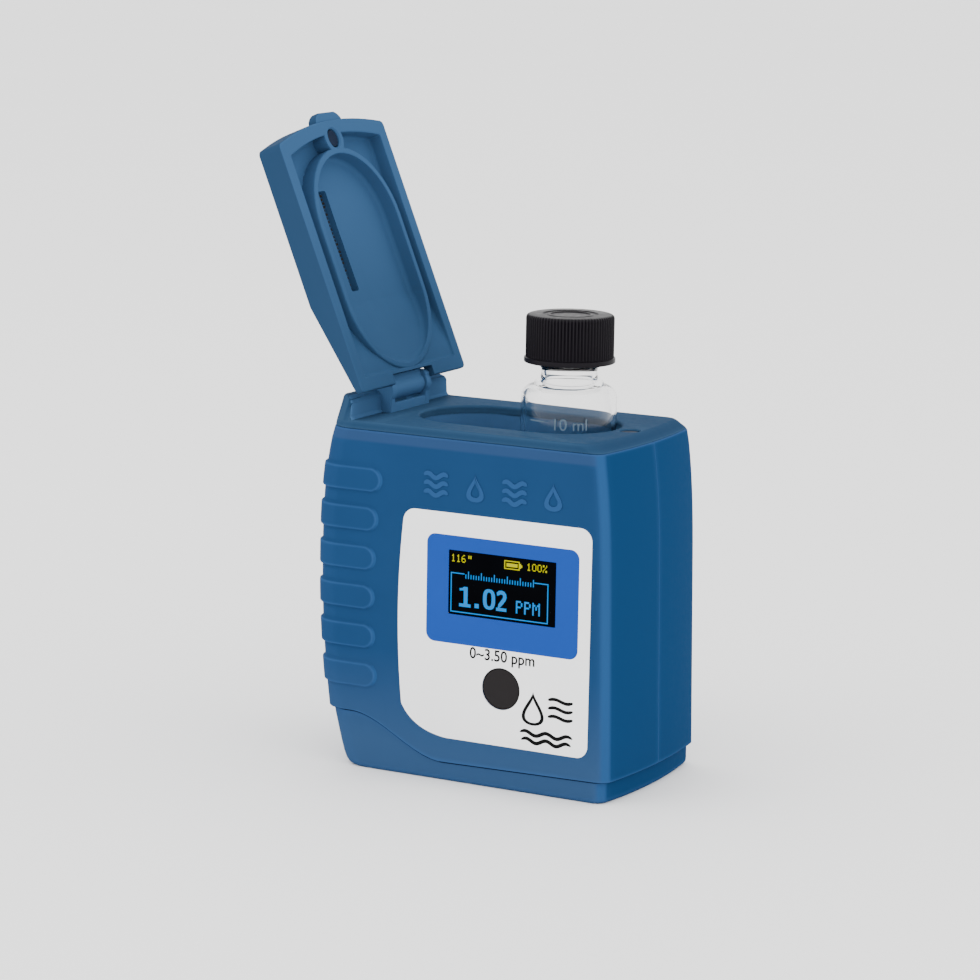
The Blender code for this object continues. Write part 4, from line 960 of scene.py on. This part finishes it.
# ---- drawing on the label, the vial and the display -------------------------------------
def lettering(name, words, height, x, z, extra=0.0, squeeze=1.0):
    """Flat numerals as a thin solid in X and Z: x is the anchor and z the baseline."""
    curve = bpy.data.curves.new(name, "FONT")
    curve.body, curve.size, curve.align_x = words, height * MM / 0.70, "CENTER"
    curve.offset, curve.extrude = extra * MM, PRINT_THICK * MM
    curve.resolution_u = 6
    obj = bpy.data.objects.new(name, curve)
    bpy.context.scene.collection.objects.link(obj)
    bpy.context.view_layer.update()
    mesh = bpy.data.meshes.new_from_object(obj.evaluated_get(bpy.context.evaluated_depsgraph_get()))
    mesh.transform(Matrix.Translation((x * MM, 0, z * MM)) @ Matrix.Rotation(math.pi / 2, 4, "X")
                   @ Matrix.Diagonal((squeeze, 1, 1, 1)))
    bpy.data.objects.remove(obj)
    made = bpy.data.objects.new(name, mesh)
    bpy.context.scene.collection.objects.link(made)
    return made


def at_depth(obj, y):
    obj.data.transform(Matrix.Translation((0, y * MM, 0)))
    return obj


LABEL_Y, PRINT_Y, PRINT_THICK, RELIEF_YS = -20.05, -20.075, 0.012, (-20.19, -19.9)
WINDOW_HALF_W, WINDOW_HALF_H = 11.9, 6.45
label = block("label_film", inset_of(label_outline()), LABEL_Y, -19.85, 0.03, 0.0, axis="Y", steps=2)
window = inset_of(rounded_rectangle(DISPLAY_X - WINDOW_HALF_W, DISPLAY_X + WINDOW_HALF_W,
                                    DISPLAY_Z - WINDOW_HALF_H, DISPLAY_Z + WINDOW_HALF_H, 0.15, 2))
cut(label, block("hole", window, -25, -15, axis="Y"))
cut(label, rod("hole", BUTTON_RADIUS + 0.12, -25, -15, (BUTTON_X, 0, BUTTON_Z)))
piece(shade(label), "case", label_look, "label", "face_label")

panel = inset_of(rounded_rectangle(-10.8, 22.95, 28.25, 49.95, 1.9, 10))
panel = block("panel_print", panel, PRINT_Y + PRINT_THICK, LABEL_Y + 0.1, axis="Y")
cut(panel, block("hole", window, -25, -15, axis="Y"))
piece(shade(panel), "case", panel_look, "label")
words = lettering("range_numerals", "0~3.50 ppm", 2.22, 6.40, 25.85, 0.045, squeeze=0.95)
piece(at_depth(words, PRINT_Y + PRINT_THICK), "case", ink_look, "label")


def ribbon(points, width, low, high):
    """Thin stroke along points in X and Z, with tapered round ends, as verts and faces."""
    left, right = [], []
    count = len(points)
    for i, (x, z) in enumerate(points):
        a, b = points[max(i - 1, 0)], points[min(i + 1, count - 1)]
        along = Vector((b[0] - a[0], b[1] - a[1])).normalized()
        t = i / (count - 1)
        half = width / 2 * math.sqrt(max(0.04, 1 - abs(2 * t - 1) ** 8))
        left.append((x - along.y * half, z + along.x * half))
        right.append((x + along.y * half, z - along.x * half))
    outline = left + right[::-1]
    verts = [(x, low, z) for x, z in outline] + [(x, high, z) for x, z in outline]
    n, faces = len(outline), []
    for i in range(count - 1):
        j, k = n - 1 - i, n - 2 - i
        faces += [(i, i + 1, k, j), (n + j, n + k, n + i + 1, n + i)]
    for i in range(n):
        j = (i + 1) % n
        faces.append((i, n + i, n + j, j))
    return verts, faces


def gather(name, shapes):
    verts, faces = [], []
    for some, joined in shapes:
        base = len(verts)
        verts += some
        faces += [tuple(base + i for i in face) for face in joined]
    return make(name, verts, faces)


def wave_line(x0, x1, z, height, cycles, steps=40):
    turn = 2 * math.pi * cycles / (x1 - x0)
    return [(x, z + height * math.sin(turn * (x - x0))) for x in spread(x0, x1, steps)]


def drop_outline(cx, cz, size):
    """Water drop, pointed at the top."""
    points = []
    for a in spread(0, 2 * math.pi, 36)[:-1]:
        points.append((cx + 0.2772 * size * math.sin(a) * (1 - math.cos(a)), cz + 0.5 * size * math.cos(a)))
    return points


def slab(points, low, high):
    """Flat closed piece from points in X and Z, as verts and faces."""
    n = len(points)
    verts = [(x, low, z) for x, z in points] + [(x, high, z) for x, z in points]
    sides = [(i, n + i, n + (i + 1) % n, (i + 1) % n) for i in range(n)]
    return verts, [tuple(range(n)), tuple(range(2 * n - 1, n - 1, -1))] + sides


def loop(outer, inner, low, high):
    """Flat closed ring between two outlines of the same number of points, as verts and faces."""
    n = len(outer)
    verts = [(x, y, z) for y in (low, high) for points in (outer, inner) for x, z in points]
    faces = []
    for i in range(n):
        j = (i + 1) % n
        faces += [(i, j, n + j, n + i), (2 * n + i, 3 * n + i, 3 * n + j, 2 * n + j),
                  (i, 2 * n + i, 2 * n + j, j), (n + i, n + j, 3 * n + j, 3 * n + i)]
    return verts, faces


def drop_ring(cx, cz, size, line, low, high):
    outer = drop_outline(cx, cz, size)
    wide, tall = 1 - 2.6 * line / size, 1 - 2.3 * line / size
    inner = [(cx + (x - cx) * wide, cz - 0.05 * size + (z - cz) * tall) for x, z in outer]
    return loop(outer, inner, low, high)


low, high = PRINT_Y, LABEL_Y + 0.05
marks = [drop_ring(13.4, 17.4, 6.8, 0.78, low, high)]
for i in range(2):
    swell = wave_line(10.6 + 0.3 * i, 22.2 - 0.3 * i, 12.4 - 1.5 * i, 0.40, 2.5)
    marks.append(ribbon(swell, 0.76, low, high))
for i in range(3):
    marks.append(ribbon(wave_line(16.7, 22.2, 19.6 - 1.7 * i, 0.30, 1.0), 0.68, low, high))
piece(gather("water_mark_print", marks), "case", ink_look, "label")

relief = []
for i, cx in enumerate((-9.0, -0.2, 8.5, 17.0)):
    if i % 2:
        relief.append(drop_ring(cx, 59.7, 5.4, 1.05, *RELIEF_YS))
        continue
    for k in range(3):
        ripple = wave_line(cx - 2.7, cx + 2.7, 57.9 + 1.75 * k, 0.42, 1.5, 30)
        relief.append(ribbon(ripple, 0.95, *RELIEF_YS))
relief = soften(gather("embossed_ripples", relief), 0.07, 2, 50.0)
piece(evened(relief, 50.0), "case", case_look, "case_blue")

PIXEL = 0.186
GLYPHS = {
    "0": "01110 10001 10001 10001 10001 10001 01110", "1": "00100 01100 00100 00100 00100 00100 01110",
    "6": "00110 01000 10000 11110 10001 10001 01110", "%": "11001 11001 00010 00100 01000 10011 10011",
    "P": "1110 1001 1001 1110 1000 1000 1000", "M": "10001 11011 10101 10101 10001 10001 10001",
}


def screen_point(column, row):
    return DISPLAY_X - DISPLAY_W / 2 + column * PIXEL, DISPLAY_Z + DISPLAY_H / 2 - row * PIXEL


def lit_cells(cells, low, high):
    """Lit rectangles; a cell is (column, row, columns, rows) from the screen's top left corner."""
    shapes = []
    for column, row, wide, tall in cells:
        x0, z0 = screen_point(column + 0.04, row + 0.04)
        x1, z1 = screen_point(column + wide - 0.04, row + tall - 0.04)
        shapes.append(slab([(x0, z1), (x1, z1), (x1, z0), (x0, z0)], low, high))
    return shapes


def glyph_cells(text, column, row, wide=1.0, tall=1.0, pitch=6.0):
    cells = []
    for letter in text:
        for j, line in enumerate(GLYPHS[letter].split()):
            for lit, first in [(k, i) for i, k in enumerate(line) if k == "1" and line[i - 1:i] != "1"]:
                run = len(line[first:]) - len(line[first:].lstrip(lit))
                cells.append((column + first * wide, row + j * tall, run * wide, tall))
        column += pitch
    return cells


def reading_shapes(low, high):
    """The measured value in tall figures: a one with its foot, a point, a nought and a two."""
    one = [(12.8, 60.1), (12.8, 56.6), (18.2, 56.6), (18.2, 42.4), (13.4, 43.0), (13.0, 40.4), (16.6, 39.8),
           (18.6, 38.3), (23.0, 38.3), (23.0, 56.6), (26.8, 56.6), (26.8, 60.1)]
    nought = []
    for a in spread(0, 2 * math.pi, 44)[:-1]:
        c, s = math.cos(a), math.sin(a)
        nought.append((48.8 + 7.35 * math.copysign(abs(c) ** 0.75, c),
                       48.5 + 11.0 * math.copysign(abs(s) ** 0.75, s)))
    hole = [(48.8 + (c - 48.8) * 0.40, 48.5 + (r - 48.5) * 0.68) for c, r in nought]
    curl = [(58.7, 43.2), (59.4, 41.2), (61.2, 39.7), (63.6, 39.3), (65.9, 40.0), (67.3, 41.8),
            (67.6, 44.2), (66.6, 46.9), (64.4, 49.9), (61.7, 53.2), (59.6, 57.0)]
    one, nought, hole, curl = ([screen_point(c, r) for c, r in points]
                               for points in (one, nought, hole, curl))
    shapes = [slab(one, low, high), loop(nought, hole, low, high), ribbon(curl, 4.3 * PIXEL, low, high)]
    return shapes + lit_cells([(31.4, 54.9, 5.2, 4.9), (57.3, 56.0, 12.4, 3.6)], low, high)


SCREEN_Y, PIXEL_Y = -19.97, -19.985
yellow = glyph_cells("116", 2.7, 4.3, 1.0, 1.17, 6.2) + [(23.2, 4.3, 1.4, 3.4), (25.6, 4.3, 1.4, 3.4)]
yellow += [(66.2, 4.1, 18.4, 1.2), (66.2, 12.3, 18.4, 1.2), (66.2, 5.3, 1.2, 7.0), (83.4, 5.3, 1.2, 7.0)]
yellow += [(84.6, 6.2, 1.6, 5.2), (86.2, 7.6, 1.4, 2.6), (68.9, 6.9, 13.2, 3.9)]
yellow += glyph_cells("100%", 93.0, 4.5, 1.0, 1.12, 6.3)
cyan = [(2.3, 24.0, 16.6, 1.2), (102.2, 24.0, 16.8, 1.2), (2.3, 65.6, 116.7, 1.3), (2.3, 25.2, 1.3, 40.4),
        (117.7, 25.2, 1.3, 40.4)]
for tick in range(27):
    tall = 8.0 if tick % 5 == 1 else 4.6
    cyan.append((20.0 + 3.1 * tick, 29.4 - tall, 1.15, tall))
cyan += glyph_cells("PP", 80.9, 45.9, 1.95, 1.96, 9.8) + glyph_cells("M", 100.4, 45.9, 1.8, 1.96)
screen = block("display_screen", window, SCREEN_Y, -19.2, 0.02, 0.0, axis="Y", steps=1)
piece(shade(screen), "case", screen_look, "screen", "display_window", "display_panel")
piece(gather("lit_yellow", lit_cells(yellow, PIXEL_Y, SCREEN_Y + 0.05)), "case", yellow_glow, "screen")
piece(gather("lit_cyan", lit_cells(cyan, PIXEL_Y, SCREEN_Y + 0.05)), "case", cyan_glow, "screen")
piece(gather("lit_reading", reading_shapes(PIXEL_Y, SCREEN_Y + 0.05)), "case", cyan_glow, "screen")


def on_vial(obj):
    """Wrap flat print round the vial's front."""
    radius = (VIAL_RADIUS + 0.015) * MM
    for vertex in obj.data.vertices:
        angle = vertex.co.x / radius
        deep = radius - vertex.co.y
        vertex.co.x = VIAL_X * MM + deep * math.sin(angle)
        vertex.co.y = -deep * math.cos(angle)
    return obj


print_on_glass = at_depth(lettering("vial_numerals", "10 ml", 2.3, 4.75, 70.9, 0.0), 0.0)
piece(on_vial(print_on_glass), "vial", mark_look, "clear")
line = gather("vial_fill_line", [ribbon([(u, 72.4) for u in spread(-4.2, -0.2, 10)], 0.28, -0.012, 0.012)])
piece(on_vial(line), "vial", mark_look, "clear")


# ---- button, door ---------------------------------------------------------------------
dome = [(0, -20.19), (1.5, -20.185), (2.7, -20.16), (3.4, -20.12), (3.75, -20.06), (3.95, -19.95),
        (4.06, -19.8), (4.1, -19.6), (4.1, -17.9), (5.3, -17.9), (5.3, -17.2), (0, -17.2)]
dome = lathe("button_cap", dome, (BUTTON_X, 0, BUTTON_Z), "Y", sharp=40.0)
piece(dome, "button", button_look, "button", "button")


def door():
    outline = inset_of(rounded_rectangle(DOOR_LEFT, DOOR_RIGHT, DOOR_BOTTOM, DOOR_TOP, 2.0))
    made = block("door_panel", outline, 18.35, 19.95, 0.0, 0.3, axis="Y")
    well = [(0, 15), (1.4, 15), (1.4, 18.95), (2.3, 18.95), (2.3, 19.75), (2.5, 19.95), (2.5, 25), (0, 25)]
    cut(made, lathe("hole", well, (DOOR_SCREW_X, 0, DOOR_SCREW_Z), "Y", 48))
    for i in range(5):
        z = 16.6 + 1.6 * i
        groove = rounded_rectangle(-24.0, -13.4, z, z + 0.7, 0.34, 4)
        cut(made, block("hole", inset_of(groove), 19.45, 21.0, 0.2, 0.0, axis="Y"))
    return made


piece(evened(door()), "door", door_look, "case_blue", "battery_door")


def battery_bay():
    """Walls of the cell compartment behind the door."""
    low_x, high_x = CELL_X
    lane = CELL_LANE

    def row_of_cells(name, radius, low, high):
        outline = [(x, y + CELL_Y) for x, y in stadium(low_x, high_x, radius)]
        return block(name, inset_of(outline), low, high)

    made = row_of_cells("battery_bay", lane + 1.2, 7.5, 58.0)
    join(made, box("block", low_x - lane - 1.2, high_x + lane + 1.2, CELL_Y, 18.2, DOOR_BOTTOM - 0.6, 57.9))
    join(made, box("block", low_x - 4.0, high_x + 4.0, 14.6, 18.2, 56.8, DOOR_TOP + 1.3))
    cut(made, box("hole", -40.0, 0.0, 17.3, 30.0, 0.0, DOOR_BOTTOM - 0.6))
    cut(made, row_of_cells("hole", lane, 8.7, 56.8))
    cut(made, box("hole", low_x - lane, high_x + lane, CELL_Y, 25.0, DOOR_BOTTOM + 0.4, 56.8))
    cut(made, rod("hole", 1.4, 12, 22, (DOOR_SCREW_X, 0, DOOR_SCREW_Z), steps=32))
    return made


piece(evened(battery_bay()), "case", case_look, "case_blue")


# ---- camera, light and floor ---------------------------------------------------------
def add_camera():
    azimuth, elevation, roll = math.radians(28.46), math.radians(10.5), math.radians(0.95)
    distance, shift_x, target_z = 703.34, -6.85, 56.28
    back = Vector((math.sin(azimuth) * math.cos(elevation), -math.cos(azimuth) * math.cos(elevation),
                   math.sin(elevation)))
    right = Vector((math.cos(azimuth), math.sin(azimuth), 0.0))
    up = back.cross(right)
    turned_right = right * math.cos(roll) + up * math.sin(roll)
    turned_up = up * math.cos(roll) - right * math.sin(roll)
    place = (right * shift_x + Vector((0, 0, target_z)) + back * distance) * MM
    camera = bpy.data.objects.new("camera", bpy.data.cameras.new("camera"))
    camera.data.lens, camera.data.sensor_width = 129.12, 36.0
    camera.data.clip_start, camera.data.clip_end = 0.01, 50.0
    rows = Matrix((turned_right, turned_up, back)).transposed().to_4x4()
    camera.matrix_world = Matrix.Translation(place) @ rows
    bpy.context.scene.collection.objects.link(camera)
    bpy.context.scene.camera = camera


def add_light(name, place, size_x, size_y, power):
    light = bpy.data.lights.new(name, "AREA")
    light.shape, light.size, light.size_y = "RECTANGLE", size_x, size_y
    light.energy = power
    obj = bpy.data.objects.new(name, light)
    toward = (Vector((0, 0, 0.05)) - Vector(place)).to_track_quat("-Z", "Y")
    obj.matrix_world = Matrix.Translation(place) @ toward.to_matrix().to_4x4()
    bpy.context.scene.collection.objects.link(obj)


def add_floor():
    rings = [[(x * 4000, y * 4000, z) for x, y in arc(0, 0, 1, 0, 354, 59)] for z in (-6.0, -0.05)]
    floor = stack("floor", rings)
    look = Finish("floor_white", (0.93, 0.93, 0.93), 0.7).tint(0.002, 0.02).rough(0.01, 0.65, 0.75)
    floor.data.materials.append(look.grain(0.05, 0.05, 0.1).material)


add_camera()
add_floor()
add_light("key", (-0.55, -0.75, 0.95), 0.7, 0.7, 3.2)
add_light("side", (0.95, -0.25, 0.55), 0.5, 0.8, 0.8)
add_light("top", (0.1, 0.3, 1.1), 0.9, 0.9, 1.5)
world = bpy.data.worlds.new("studio")
world.use_nodes = True
world.node_tree.nodes["Background"].inputs["Color"].default_value = (1.0, 1.0, 1.0, 1.0)
world.node_tree.nodes["Background"].inputs["Strength"].default_value = 2.1
bpy.context.scene.world = world
